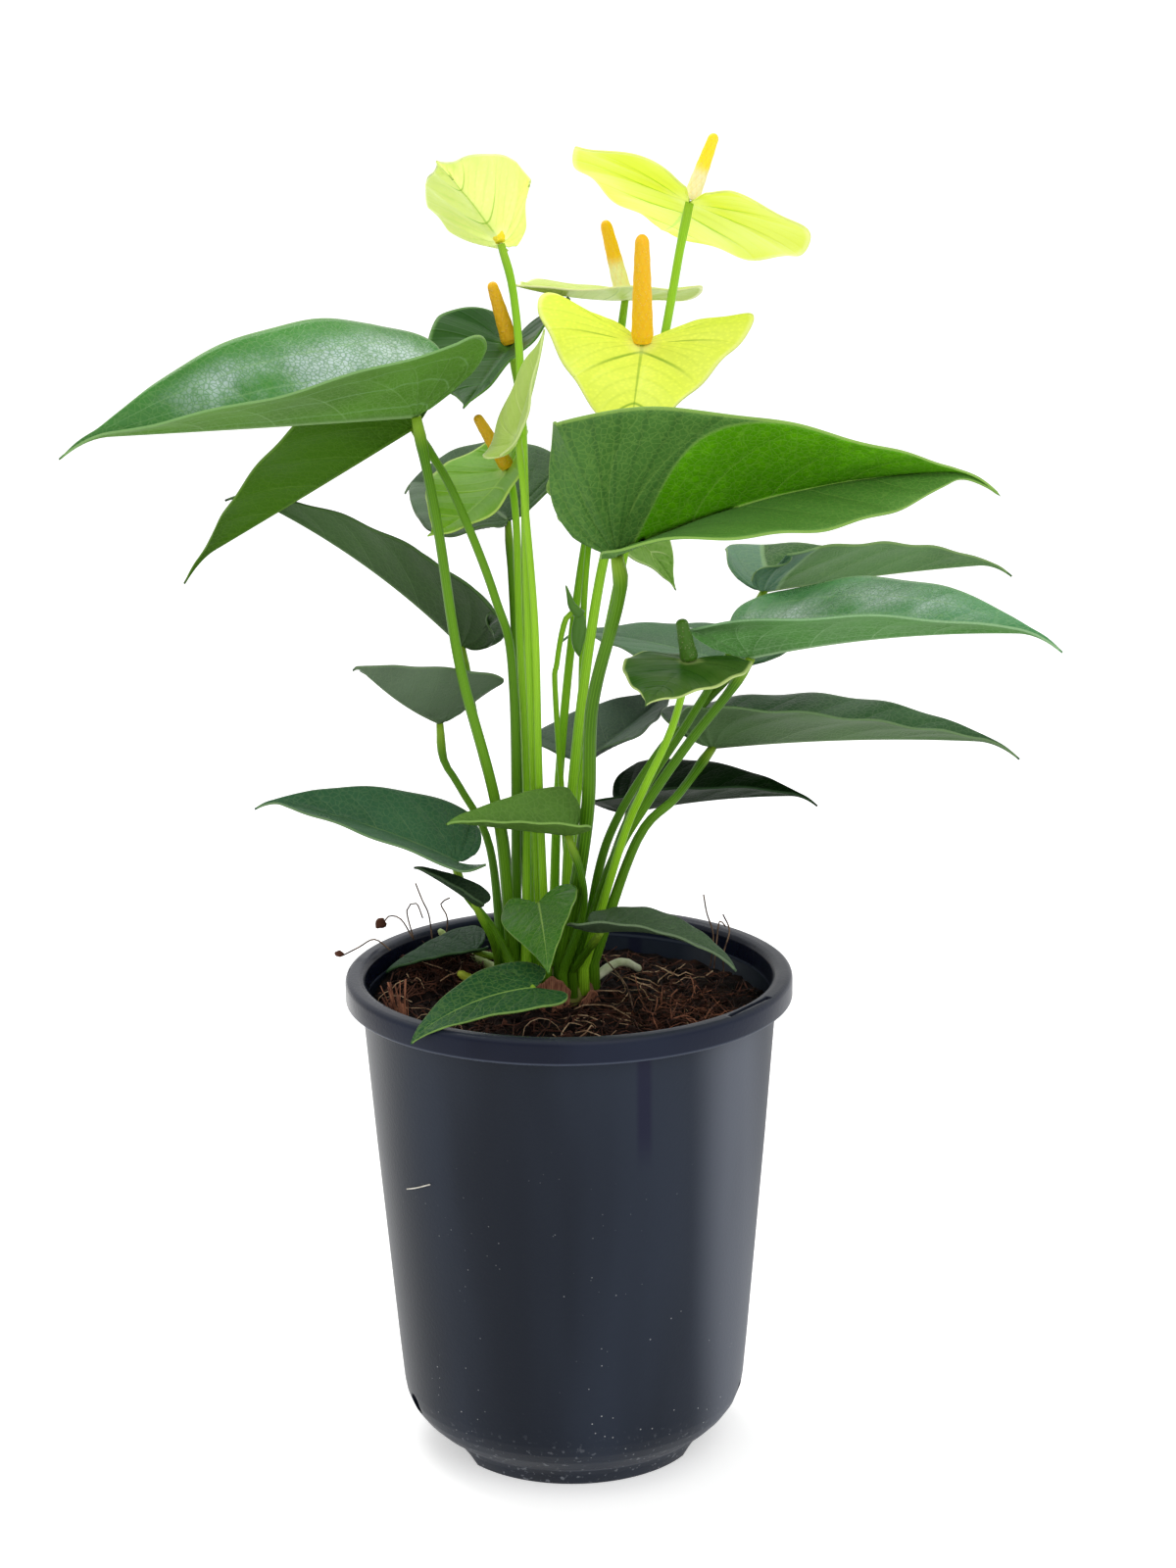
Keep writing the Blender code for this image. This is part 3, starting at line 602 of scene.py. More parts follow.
coir = fibre_finish("coir_brown", srgb(30, 17, 13), srgb(88, 52, 38))
loose_coir = fibre_finish("coir_loose", srgb(84, 50, 38), srgb(152, 100, 76))
pale_fibre = fibre_finish("coir_pale", srgb(140, 108, 82), srgb(206, 176, 142))
straw = fibre_finish("straw_white", srgb(206, 202, 190), srgb(240, 236, 226))
dry_root = fibre_finish("dry_root", srgb(66, 48, 40), srgb(134, 108, 88))
fibres("coir_fibres", coir, 440, LITTER_RADIUS, (8.0, 26.0), (0.14, 0.32), (0.3, 2.5))
fibres("coir_pad_on_mound", coir, 230, 20.0, (8.0, 24.0), (0.15, 0.35), (0.6, 4.0), (-44.0, 28.0))
fibres("coir_pad_right", coir, 110, 17.0, (8.0, 24.0), (0.15, 0.3), (0.5, 4.0), RIGHT_PAD)
fibres("coir_strands_right", loose_coir, 26, 15.0, (10.0, 26.0), (0.15, 0.3), (2.0, 6.0), RIGHT_PAD)
fibres("pale_fibres", pale_fibre, 48, 60.0, (10.0, 34.0), (0.12, 0.26), (0.5, 4.5))


def crumb(x, y, size):
    """One lump of peat or husk."""
    ball = bmesh.new()
    bmesh.ops.create_icosphere(ball, subdivisions=2, radius=1.0)
    stretch = chance.uniform(0.5, 1.0, 3) * size
    seed = Vector(chance.uniform(0.0, 50.0, 3))
    z = crumb_height(x, y) + 0.3 * size
    points = []
    for vertex in ball.verts:
        swell = 1.0 + 0.45 * noise.noise(vertex.co * 1.6 + seed)
        points.append(np.array(vertex.co) * stretch * swell + (x, y, z))
    faces = [tuple(corner.index for corner in face.verts) for face in ball.faces]
    ball.free()
    return Piece(points, faces)


def crumbs(name, finish, count, smallest, largest):
    """Crumbs strewn over the whole of the mix."""
    strewn = []
    while len(strewn) < count:
        strewn.append(crumb(*place_within(LITTER_RADIUS), chance.uniform(smallest, largest)))
    add_piece(name, merged(strewn), [finish], "peat_and_coir")


husk = Finish("husk", roughness=0.9, specular=0.2)
husk.paint("Base Color", husk.blend(husk.lumps(500.0, 4.0), srgb(40, 23, 18), srgb(108, 66, 50)))
husk.raise_by(husk.lumps(1400.0, 4.0), 0.6, 0.0006)
crumbs("peat_crumbs", peat_finish, 420, 0.6, 1.9)
crumbs("husk_bits", husk, 70, 0.6, 1.7)
by_rim = merged([crumb(57.0, -14.0, 3.6), crumb(54.5, -10.5, 2.6)])
add_piece("husk_by_rim", by_rim, [husk], "peat_and_coir")


BUNDLE_CENTRE = (-51.0, -21.0)
BUNDLE_LEAN = (-3.0, 3.0)
BUNDLE_STRANDS = 26


def coir_bundle():
    """A tuft of coir strands that stands up at the left."""
    strands = []
    for _ in range(BUNDLE_STRANDS):
        foot = np.array((*(chance.normal(0.0, 1.2, 2) + BUNDLE_CENTRE), SOIL_Z))
        lean = chance.normal(0.0, 2.0, 2) + BUNDLE_LEAN
        top = foot + (*lean, chance.uniform(7.0, 16.0))
        middle = (foot + top) / 2 + chance.normal(0.0, 0.6, 3)
        strands.append(rod(smooth_route([foot, middle, top], 3.0), chance.uniform(0.18, 0.36), 5))
    return merged(strands)


add_piece("coir_bundle", coir_bundle(), [loose_coir], "peat_and_coir")

WISPS = (
    ((-57, 23, 156), (-62, 22, 160), (-67, 20, 158), (-72, 18, 156)),
    ((-50, 34, 156), (-54, 34, 163), (-58, 34, 164), (-60, 33, 161)),
    ((-50, 34, 156), (-52, 34, 166), (-49, 35, 168), (-47, 35, 163)),
    ((-44, 35, 155), (-45, 35, 164), (-47, 35, 169), (-49, 34, 175)),
    ((-40, 34, 154), (-39, 34, 163), (-41, 34, 168), (-38, 34, 170)),
    ((46, 36, 145), (47, 38, 155), (45, 40, 162), (44, 41, 168)),
    ((47, 34, 145), (48, 35, 154), (49, 37, 160), (51, 38, 158)),
    ((50, 30, 145), (50, 31, 151), (52, 33, 158), (50, 35, 163)),
    ((-30, -10, 145), (-33, -8, 152), (-38, -12, 150), (-43, -16, 147)),
    ((20, -12, 146), (18, -6, 152), (14, 0, 156), (11, 6, 158)),
)
SEED_PLACES = ((-73.0, 18.0, 155.5), (-60.5, 33.0, 160.5))
SEED_SIZE = 1.9
STRAW = ((-48, -33, 97), (-45, -37, 99), (-41, -42, 102))  # sticks to the pot's side
STRAW_RADIUS, WISP_RADIUS = 0.22, 0.26
SIDE_RADIUS, SIDE_HEIGHT, SIDE_SLOPE = 61.7, 101, 0.06  # of the pot's side where the straw lies


def on_pot_side(x, y, z):
    """The point of the pot's side at this height, in this direction from the axis."""
    reach = SIDE_RADIUS + (z - SIDE_HEIGHT) * SIDE_SLOPE
    return x / math.hypot(x, y) * reach, y / math.hypot(x, y) * reach, z


straw_route = smooth_route([on_pot_side(*place) for place in STRAW], 1.5)
add_piece("stray_fibre", rod(straw_route, STRAW_RADIUS, 6), [straw], "peat_and_coir")
wisps = [rod(smooth_route(wisp, 1.5), WISP_RADIUS, 5) for wisp in WISPS]
add_piece("dry_wisps", merged(wisps), [dry_root], "peat_and_coir")
seeds = []
for place in SEED_PLACES:
    seed = crumb(*place[:2], SEED_SIZE)
    seeds.append(Piece(np.array(seed.points) + place - seed.points[0], seed.faces))
add_piece("dry_seeds", merged(seeds), [husk], "peat_and_coir")


# --- the crown, its sheath and the air roots ------------------------------------------------------
# The short stem at soil level that every stalk leaves, wrapped in the brown papery remains of old
# leaf sheaths. Thick pale roots leave it in the air and turn down into the mix.

CROWN_SIDES = 72
CROWN_RINGS = (  # height and radius
    (128.0, 12.0), (133.0, 15.5), (140.0, 16.4), (146.0, 16.6),
    (149.0, 15.8), (150.6, 13.6), (150.9, 8.0),
)


def crown_shape():
    points = []
    for z, radius in CROWN_RINGS:
        for k in range(CROWN_SIDES):
            out = on_circle(1.0, k / CROWN_SIDES)
            wander = 1.0 + 0.05 * noise.noise(Vector((*out, z * 0.1)) * 2.2)
            points.append((*(CROWN_CENTRE + radius * wander * np.array(out)), z))
    return Piece(points, tube_faces(len(CROWN_RINGS), CROWN_SIDES))


def crown_tissue():
    """Green skin with brown corky patches."""
    made = Finish("crown_tissue", roughness=0.6, specular=0.3)
    colour = made.blend(made.lumps(180.0, 4.0), srgb(96, 92, 40), srgb(128, 140, 62))
    cork = made.lumps(60.0).between(0.5, 0.6)
    made.paint("Base Color", made.blend(cork, colour, srgb(110, 74, 52)))
    made.raise_by(made.lumps(500.0, 3.0), 0.5, 0.0008)
    return made


add_piece("crown_stem", crown_shape(), [crown_tissue()], "crown_tissue", "crown")

SCRAP_FOOT = 142.0
SCRAPS = (  # where each starts and ends round the crown, its top and radius, its wrinkles' seed
    (-104, -66, 155.0, 17.2, 1.0), (-60, -28, 149.0, 17.9, 4.0),
    (150, 205, 151.0, 17.3, 7.0), (40, 100, 152.0, 17.3, 9.0),
)
SCRAP_COLUMNS, SCRAP_ROWS = 26, 10
PAPER_THICKNESS = 0.25


def paper_scrap(start, end, high, radius, seed):
    """A curled scrap of dry sheath that follows the crown's side between two angles."""
    points, lie = [], []
    for i in range(SCRAP_COLUMNS):
        share = i / (SCRAP_COLUMNS - 1)
        top = high - 5.0 * (2 * share - 1) ** 2 + 1.6 * noise.noise(Vector((share * 5, seed, 0.0)))
        for j in range(SCRAP_ROWS):
            up = j / (SCRAP_ROWS - 1)
            curl = 1.6 * up ** 2 + 0.5 * noise.noise(Vector((share * 4, up * 3, seed)))
            place = CROWN_CENTRE + on_circle(radius + curl, (start + (end - start) * share) / 360)
            points.append((*place, SCRAP_FOOT + (top - SCRAP_FOOT) * up))
            lie.append((share, up))
    faces = []
    for i in range(SCRAP_COLUMNS - 1):
        for j in range(SCRAP_ROWS - 1):
            a = i * SCRAP_ROWS + j
            faces.append((a, a + SCRAP_ROWS, a + SCRAP_ROWS + 1, a + 1))
    return Piece(points, faces, lie)


def dry_sheath():
    """Brown paper with streaks that run up it."""
    made = Finish("dry_sheath", roughness=0.75, specular=0.25)
    at = made.node("ShaderNodeUVMap", {"uv_map": "lie"})
    at = made.node("ShaderNodeMapping", None, {"Vector": at, "Scale": (22.0, 1.6, 1.0)})
    inputs = {"Vector": at, "Scale": 2.0}
    streak = made.node("ShaderNodeTexNoise", {"noise_dimensions": "2D"}, inputs)
    colour = made.blend(streak.between(0.3, 0.7), srgb(112, 66, 48), srgb(176, 122, 94))
    made.paint("Base Color", colour)
    made.raise_by(streak, 0.5, 0.0008)
    return made


scraps = merged([paper_scrap(*scrap) for scrap in SCRAPS])
sheath = add_piece("papery_sheath", scraps, [dry_sheath()], "crown_tissue")
sheath.modifiers.new("thickness", "SOLIDIFY").thickness = PAPER_THICKNESS * MM

# Each root's route, its radius at its foot and near its end, and its darkest and lightest colours
ROOTS = {
    "root_left": (((-21, 18, 149), (-31, 30, 151.5), (-38, 37, 154), (-42, 40, 157.5)), 1.9, 1.1,
                  srgb(150, 170, 100), srgb(196, 206, 150)),
    "root_stub": (((-22, 10, 148), (-30, 9, 150), (-35, 8, 153)), 2.0, 1.3,
                  srgb(150, 165, 40), srgb(190, 200, 70)),
    "root_right": (((8, 16, 148), (14.5, 21, 151), (18.5, 25.5, 150), (23, 31, 146)), 1.6, 1.2,
                   srgb(150, 160, 120), srgb(208, 212, 184)),
}
for name, (points, thick, thin, dark, pale) in ROOTS.items():
    skin = Finish(name + "_skin", roughness=0.6, specular=0.3)
    skin.paint("Base Color", skin.blend(skin.lumps(160.0, 4.0).between(0.3, 0.7), dark, pale))
    skin.raise_by(skin.lumps(420.0, 4.0), 0.4, 0.0008)
    route = smooth_route(points, 1.2)
    wobble = [1.0 + 0.14 * noise.noise(Vector((i * 0.35, 2.0, 0.0))) for i in range(len(route))]
    radii = np.linspace(thick, thin, len(route)) * wobble
    radii[-1] *= 0.55
    add_piece(name + "_skin", rod(route, radii, 16), [skin], "root_skin", name)


# --- the leaves -----------------------------------------------------------------------------------
# Each leaf is a leathery heart-shaped blade, folded along its midrib and quilted between its veins,
# on a long green stalk that thickens just below the blade. Upper sides are deep and glossy, lower
# sides paler and duller, and a thin light margin runs all round.

BLADE_THICKNESS = 0.7
STALK_FOOT = 147.0  # inside the crown
STALK_RISE = 155.3
YOUNG_LENGTH = 50.0  # a leaf shorter than this has a blunter tip
VEIN_LEAN = 0.25  # where on the midrib the veins stop fanning from the stalk
VEIN_SWEEP = 0.6  # how far a side vein curves towards the tip, in veins
SIDE_VEINS = 9
LEAF_QUILT, LEAF_RIPPLE = 0.006, 0.005
PETIOLE_SWELLING, FLOWER_STALK_SWELLING = 0.28, 0.1
SWELLING_BELOW, SWELLING_REACH = 7.0, 5.0  # from the blade, down its stalk
FLARE, FLARE_REACH = 0.45, 16.0  # of a stalk's foot
STALK_SIDES, STALK_RIDGE = 14, 0.045
FULL_RUN = 0.999  # the whole way round a half's outline, under 1 so that halves don't mix
BLADE_COLUMNS = 18
BLADE_STEP = 0.012  # between the rows of a blade, at its margin
MIDRIB_RISE, MIDRIB_SIDE, MIDRIB_WIDTH = 0.0015, 0.022, 0.01  # the shoulder beside the midrib
HOOK_START = 0.86  # where on the midrib the tip begins to bend down
STRAIGHT = 1e-4  # the least bend there is, so that it can be divided by

# Half outlines of a blade of length 1, from its tip round one side towards the stalk at (0, 0)
LEAF_OUTLINE = (
    (1.0, 0.0), (0.95, 0.01), (0.89, 0.022), (0.83, 0.055), (0.7, 0.13), (0.5, 0.225), (0.3, 0.3),
    (0.12, 0.345), (-0.03, 0.35), (-0.13, 0.31), (-0.18, 0.24), (-0.165, 0.16), (-0.1, 0.075),
)
YOUNG_OUTLINE = ((1.0, 0.0), (0.9, 0.05), (0.7, 0.14), *LEAF_OUTLINE[5:])
SHORT_LOBE_OUTLINE = (*LEAF_OUTLINE[:7], (0.15, 0.32), (0.03, 0.29), (-0.04, 0.21), (-0.05, 0.1))

# left, right: the outlines of the two halves. lobe: how long the lobes are, and half: how wide a
# half is at its widest, as shares of the length. hook: how far the tip bends down.
Form = namedtuple("Form", "left right lobe half hook")
LEAF_FORM = Form(LEAF_OUTLINE, LEAF_OUTLINE, 0.19, 0.33, 2.8)
YOUNG_FORM = Form(YOUNG_OUTLINE, YOUNG_OUTLINE, 0.19, 0.33, 1.5)
SHORT_LOBE_FORM = Form(LEAF_OUTLINE, SHORT_LOBE_OUTLINE, 0.19, 0.33, 3.2)

# at: where the blade meets its stalk. heading: the midrib's direction, 0 along +X. pitch: how far
# it rises. left, right: how far each half is folded up. droop: how far the midrib bends down by
# its tip. lobe: how far the lobes curl up. twist: roll by the tip. cup: how far each half curls up
# between its midrib and its margin.
Blade = namedtuple("Blade", "at heading pitch left right length width droop lobe twist cup")
Stalk = namedtuple("Stalk", "foot via radius")
# veins: side veins in each half. quilt: how far the blade puffs up between them, and ripple: how
# far its margin waves, both as shares of its length.
Relief = namedtuple("Relief", "veins quilt ripple waves")


def bent(blade, form, x, y, side, height):
    """Where the flat points (x, y) of a blade of length 1 come to lie, raised by this height."""
    y = y * blade.width
    bend = np.where(x > 0, math.radians(blade.droop), -math.radians(blade.lobe) / form.lobe)
    bend = np.where(np.abs(bend) < STRAIGHT, STRAIGHT, bend)
    start = math.radians(blade.pitch)
    slope = start - bend * x
    along = (np.sin(start) - np.sin(slope)) / bend
    up = (np.cos(slope) - np.cos(start)) / bend - form.hook * np.maximum(0.0, x - HOOK_START) ** 2
    curl = math.radians(blade.cup) / (form.half * blade.width) or STRAIGHT
    folded = blade.left if side > 0 else blade.right
    fold = math.radians(folded) + math.radians(side * blade.twist) * x
    lean = fold + curl * y
    across = (np.sin(lean) - np.sin(fold)) / curl - height * np.sin(lean)
    lift = (np.cos(fold) - np.cos(lean)) / curl + height * np.cos(lean)
    local = np.stack([along - np.sin(slope) * lift, side * across, up + np.cos(slope) * lift], -1)
    cos, sin = math.cos(math.radians(blade.heading)), math.sin(math.radians(blade.heading))
    axes = np.array(((cos, sin, 0.0), (-sin, cos, 0.0), (0.0, 0.0, 1.0)))
    return np.array(blade.at, float) + local @ axes * blade.length


def blade_surface(blade, form, relief, seed):
    """A blade's middle surface, its rows laid along the side veins, with the two halves apart."""
    points, lie, flat, faces = [], [], [], []
    shares = np.linspace(0.0, 1.0, BLADE_COLUMNS + 1) ** 0.85
    for side, outline in ((1, form.left), (-1, form.right)):
        edge = smooth_route([(*corner, 0.0) for corner in outline], BLADE_STEP)[:, :2]
        run = distance_along(edge)
        step = (run / run[-1])[:, None] * FULL_RUN
        x_edge, y_edge = edge[:, :1], np.maximum(edge[:, 1:], 0.0)
        foot = np.maximum(0.0, (x_edge - VEIN_LEAN) / (1 - VEIN_LEAN))
        x = foot + (x_edge - foot) * shares
        y = y_edge * shares
        phase = step * relief.veins + VEIN_SWEEP * shares ** 2
        pad = np.abs(np.sin(math.pi * phase)) ** 0.6 * np.sin(math.pi * shares) ** 0.6
        wave = shares ** 3 * np.sin(step * 2 * math.pi * relief.waves + seed + side)
        shoulder = MIDRIB_RISE * np.exp(-((y - MIDRIB_SIDE) / MIDRIB_WIDTH) ** 2) * (x > 0)
        height = (relief.quilt * pad + relief.ripple * wave) * np.minimum(1.0, y_edge / 0.12)
        height = (height + shoulder) * np.minimum(1.0, y / 0.015)
        count = sum(len(part) for part in points)
        points.append(bent(blade, form, x, y, side, height).reshape(-1, 3))
        lie.append(np.stack([step + (side < 0) + 0 * x, shares + 0 * x], -1).reshape(-1, 2))
        flat.append(np.stack([x, side * y], -1).reshape(-1, 2))
        for i in range(len(edge) - 1):
            for k in range(BLADE_COLUMNS):
                a = count + i * x.shape[1] + k
                face = (a, a + 1, a + x.shape[1] + 1, a + x.shape[1])
                faces.append(face if side > 0 else face[::-1])
    return Piece(np.concatenate(points), faces, np.concatenate(lie), np.concatenate(flat))


def weld(made):
    """Closes the seam between a blade's halves and drops the faces that collapse at its tip."""
    built = bmesh.new()
    built.from_mesh(made.data)
    bmesh.ops.remove_doubles(built, verts=built.verts, dist=2e-5)
    bmesh.ops.dissolve_degenerate(built, dist=1e-6, edges=built.edges)
    built.to_mesh(made.data)
    built.free()


def thicken(made, thickness):
    solidify = made.modifiers.new("thickness", "SOLIDIFY")
    solidify.thickness = thickness * MM
    solidify.offset = 0.0
    solidify.use_even_offset = False
    solidify.material_offset = 1
    solidify.material_offset_rim = 0


def vein_lines(finish, veins, sweep, thin):
    """1 on a side vein and 0 between them, and where a point lies from midrib to margin."""
    step, share = finish.across()
    phase = step.math("FRACT") * (veins / FULL_RUN) + share * share * sweep
    away = (phase.math("FRACT") - 0.5).math("ABSOLUTE")
    return away.between(0.5 - thin, 0.5), share


def tinted(colour, factor):
    return tuple(min(1.0, factor * part) for part in colour)


def plain(skin, colour, part, x, y, share):
    return colour


def large_leaf(skin, colour, part, x, y, share):
    """A painted grey-green sky reflection on the lobe and band past the arched main vein, and a
    lighter near half with a painted highlight towards its stalk.
    """
    reach = (1.0 - x * (1 / 0.62)).between(0.0, 1.0)
    away = share - (1.0 - reach * reach * reach)
    far = y.between(-0.002, 0.002)
    # painted reflection of the sky on the lobe and band that bend away past the main vein
    sky_reflection = skin.blend(skin.lumps(60.0, 3.0), srgb(60, 102, 40), srgb(88, 136, 60))
    fan = (x.math("ARCTAN2", y) * 40.0).math("SINE")
    sky_reflection = skin.blend(fan.between(0.6, 1.0) * 0.35, sky_reflection, srgb(44, 84, 36))
    near = skin.blend(skin.lumps(40.0, 3.0), srgb(76, 128, 44), srgb(98, 148, 66))
    # painted highlight on the near half, towards its stalk and midrib
    near_highlight = x.between(0.5, 0.05) * share.between(0.9, 0.2) * 0.25
    near = skin.blend(near_highlight, near, srgb(150, 180, 136))
    bright = skin.blend(skin.cells(300.0).between(0.2, 0.6) * 0.4, colour, srgb(64, 134, 4))
    colour = skin.blend(far, near, bright)
    colour = skin.blend(far * away.between(-0.015, 0.015), colour, sky_reflection)
    colour = skin.blend(far * away.near(0.0, 0.02, 0.004) * 0.4, colour, srgb(140, 180, 90))
    return skin.blend(share.between(0.05, 0.02) * 0.8, colour, srgb(150, 196, 80))


def reflecting_lobe(skin, colour, part, x, y, share):
    """Lobes greyer than the rest past a pale line, the grey being a painted reflection of the sky.
    """
    away = x - 0.05 - y * y * 0.6
    # painted reflection of the sky on the lobes
    sky_reflection = skin.blend(skin.lumps(60.0, 3.0), srgb(84, 122, 98), srgb(104, 144, 120))
    colour = skin.blend(away.between(0.012, -0.012), colour, sky_reflection)
    return skin.blend(away.near(0.0, 0.014, 0.004) * 0.5, colour, srgb(150, 185, 130))


def sheen_and_veins(skin, colour, part, x, y, share):
    """A painted sheen of whitish reflected light, crackled, in a broad band along each half of the
    upper side, and pale lengthwise veins.
    """
    if part == "upper":
        # painted highlight: the sheen of reflected light on the glossy upper side
        band = share.between(0.12, 0.4) * share.between(0.95, 0.6)
        crackle = skin.cells(720.0, "DISTANCE_TO_EDGE").between(0.02, 0.2)
        sheen_patches = band * skin.lumps(26.0, 4.0).between(0.38, 0.6) * (0.4 + 0.6 * crackle)
        colour = skin.blend(sheen_patches * x.between(0.85, 0.45) * 0.85, colour, srgb(214, 228, 236))
    lengthwise = (share * 3.6).math("FRACT").near(0.5, 0.06, 0.0)
    return skin.blend(lengthwise * 0.35, colour, srgb(140, 182, 126))


# upper, under, vein: the colours of a leaf's sides and veins. rough: its upper side's roughness.
# zones: what colours it otherwise in places. form: its form, if not the usual one for its length.
Leaf = namedtuple("Leaf", "blade stalk upper under vein rough zones form", defaults=(plain, None))
LEAVES = {
    "leaf_upper_left": Leaf(
        Blade((-43, -18, 333), -157, 0, 49, 47, 108, 1.14, -1, 14, -31, -25),
        Stalk((-17.5, 8), ((-21.5, 1, 206.5), (-32, -6, 255), (-37.5, -12.5, 298.5)), 2.1),
        (72, 136, 58), (92, 140, 50), (150, 188, 120), 0.24, sheen_and_veins),
    "leaf_left_hanging": Leaf(
        Blade((-45, 10, 325.5), 158, -31, 39, 35, 94, 1.01, -1, 35, 1, -11),
        Stalk((-16.5, 12.5), ((-16, 5, 246), (-21, -5, 276), (-33.5, -4, 309)), 1.8),
        (54, 94, 10), (60, 102, 12), (104, 146, 50), 0.42),
    "leaf_left_rising": Leaf(
        Blade((-33, 42, 251), 176, 46, 44, 21, 91, 1.02, 22, 68, 4, -7),
        Stalk((-19, 18), ((-20, 28, 190), (-27.5, 38, 219.5)), 1.8),
        (36, 70, 24), (62, 90, 48), (96, 128, 74), 0.42),
    "leaf_left_grey": Leaf(
        Blade((-39.5, 20, 231), -117, 23, 46, 35, 61, 1.18, -15, 35, 3, -13),
        Stalk((-21, 12.5), ((-24.5, 16.5, 191.5), (-33.5, 18.5, 210.5), (-38.5, 19, 219.5)), 1.6),
        (90, 110, 86), (103, 123, 98), (124, 147, 110), 0.5),
    "leaf_large_right": Leaf(
        Blade((15.5, -45, 295.5), 7, 25, 110, 14, 117, 1.21, 29, 27, 52, 3),
        Stalk((-2, 4.5), ((6, -11, 207), (8, -27, 247), (16, -40, 282)), 2.6),
        (96, 172, 4), (96, 148, 72), (160, 200, 96), 0.42, large_leaf, SHORT_LOBE_FORM),
    "leaf_right_upper": Leaf(
        Blade((63, 34, 269), 15, 6, 19, 34, 84, 1.08, 6, 73, -9, -4),
        Stalk((5, 14.5), ((18.5, 4, 202), (37, -3, 235), (48, 12, 248.5)), 1.7),
        (40, 88, 20), (92, 132, 78), (147, 179, 112), 0.42, reflecting_lobe),
    "leaf_right_middle": Leaf(
        Blade((56, -18, 259), -27, 16, 34, 36, 99, 1.08, 14, 41, 9, -21),
        Stalk((3, 7), ((14, -1, 191), (24.5, -6, 211), (38, -11, 232), (50, -15, 248.5)), 2.0),
        (84, 146, 92), (84, 138, 66), (165, 202, 150), 0.26, sheen_and_veins),
    "leaf_right_rear": Leaf(
        Blade((55.5, 52, 241), 141, 8, 9, 17, 73, 1.03, 11, 35, 1, -10),
        Stalk((5, 19), ((12.5, 17, 192.5), (28.5, 20, 220), (40, 36, 228)), 1.7),
        (66, 106, 69), (70, 106, 72), (110, 144, 100), 0.42),
    "leaf_right_lower": Leaf(
        Blade((46.5, 30, 219.5), 1, 5, 19, 42, 98, 0.98, 10, 36, 18, -13),
        Stalk((7.5, 9), ((22, 9, 195.5), (34.5, 12, 208.5)), 1.9),
        (59, 97, 56), (90, 119, 78), (124, 153, 104), 0.36),
    "leaf_right_dark": Leaf(
        Blade((20, 42, 195.5), -20, 16, 38, 30, 64, 1.01, 13, 43, -4, -11),
        Stalk((2, 25), ((16.5, 32, 185),), 1.6),
        (8, 36, 4), (18, 44, 12), (40, 66, 36), 0.5),
    "leaf_rear_grey": Leaf(
        Blade((7.5, 42, 213), 57, 13, 25, 36, 57, 1.03, -2, 37, 10, -12),
        Stalk((-3, 27.5), ((6, 37, 200),), 1.7),
        (81, 100, 86), (88, 108, 93), (115, 135, 110), 0.5),
    "leaf_rear_left": Leaf(
        Blade((-17.5, 46, 290.5), 122, 17, 7, 55, 67, 1.11, 28, 38, -21, -20),
        Stalk((-12.5, 27), ((-15, 34, 207.5), (-16, 40.5, 254)), 1.5),
        (79, 106, 75), (86, 112, 82), (120, 144, 104), 0.5),
    "leaf_lower_left": Leaf(
        Blade((-35, -4, 192.5), -179, 28, 15, 35, 65, 0.99, 17, 58, -13, -9),
        Stalk((-17.5, 3.5), ((-23.5, 3, 168.5), (-32, -1.5, 182)), 1.6),
        (58, 100, 68), (81, 110, 78), (124, 153, 104), 0.3),
    "leaf_young_front": Leaf(
        Blade((0, -12, 203), 190, 10, 25, 50, 38, 1.2, 0, 26, 0, 0),
        Stalk((-2, -1.5), ((4.5, -6, 176.5), (4, -11, 190.5)), 1.5),
        (94, 136, 54), (90, 128, 52), (147, 186, 96), 0.45),
    "leaf_heart_front": Leaf(
        Blade((-9, -13, 181.5), -85, -4, 21, -25, 36, 1, 28, 28, 16, 0),
        Stalk((-7, -1), ((-10, -4, 167),), 1.4),
        (62, 114, 32), (80, 126, 42), (152, 186, 92), 0.32),
    "leaf_over_rim": Leaf(
        Blade((-11, -44, 164), -159, 2, -4, 16, 41, 1.02, 36, 7, -9, 0),
        Stalk((-12, -1.5), ((-11, -22, 162),), 1.3),
        (36, 82, 42), (74, 123, 61), (143, 179, 90), 0.34),
    "leaf_on_soil_left": Leaf(
        Blade((-30, 20, 156), 185, -5, 20, 25, 29, 1.2, 10, 20, 0, 0),
        Stalk((-22.5, 15.5), (), 1.1),
        (33, 65, 40), (46, 76, 50), (74, 104, 64), 0.45),
    "leaf_on_soil_right": Leaf(
        Blade((10, -21, 174.5), -25, 14, 14, 25, 46, 0.92, 43, 31, 1, 0),
        Stalk((1, 0), (), 1.4),
        (72, 93, 69), (77, 99, 72), (115, 136, 100), 0.42),
    "leaf_small_left": Leaf(
        Blade((-29, -14, 182), 165, 35, 35, 30, 22, 0.9, 10, 20, 0, 0),
        Stalk((-22, 8.5), ((-24, -5, 168),), 1.2),
        (33, 52, 34), (40, 61, 38), (74, 98, 64), 0.45),
}


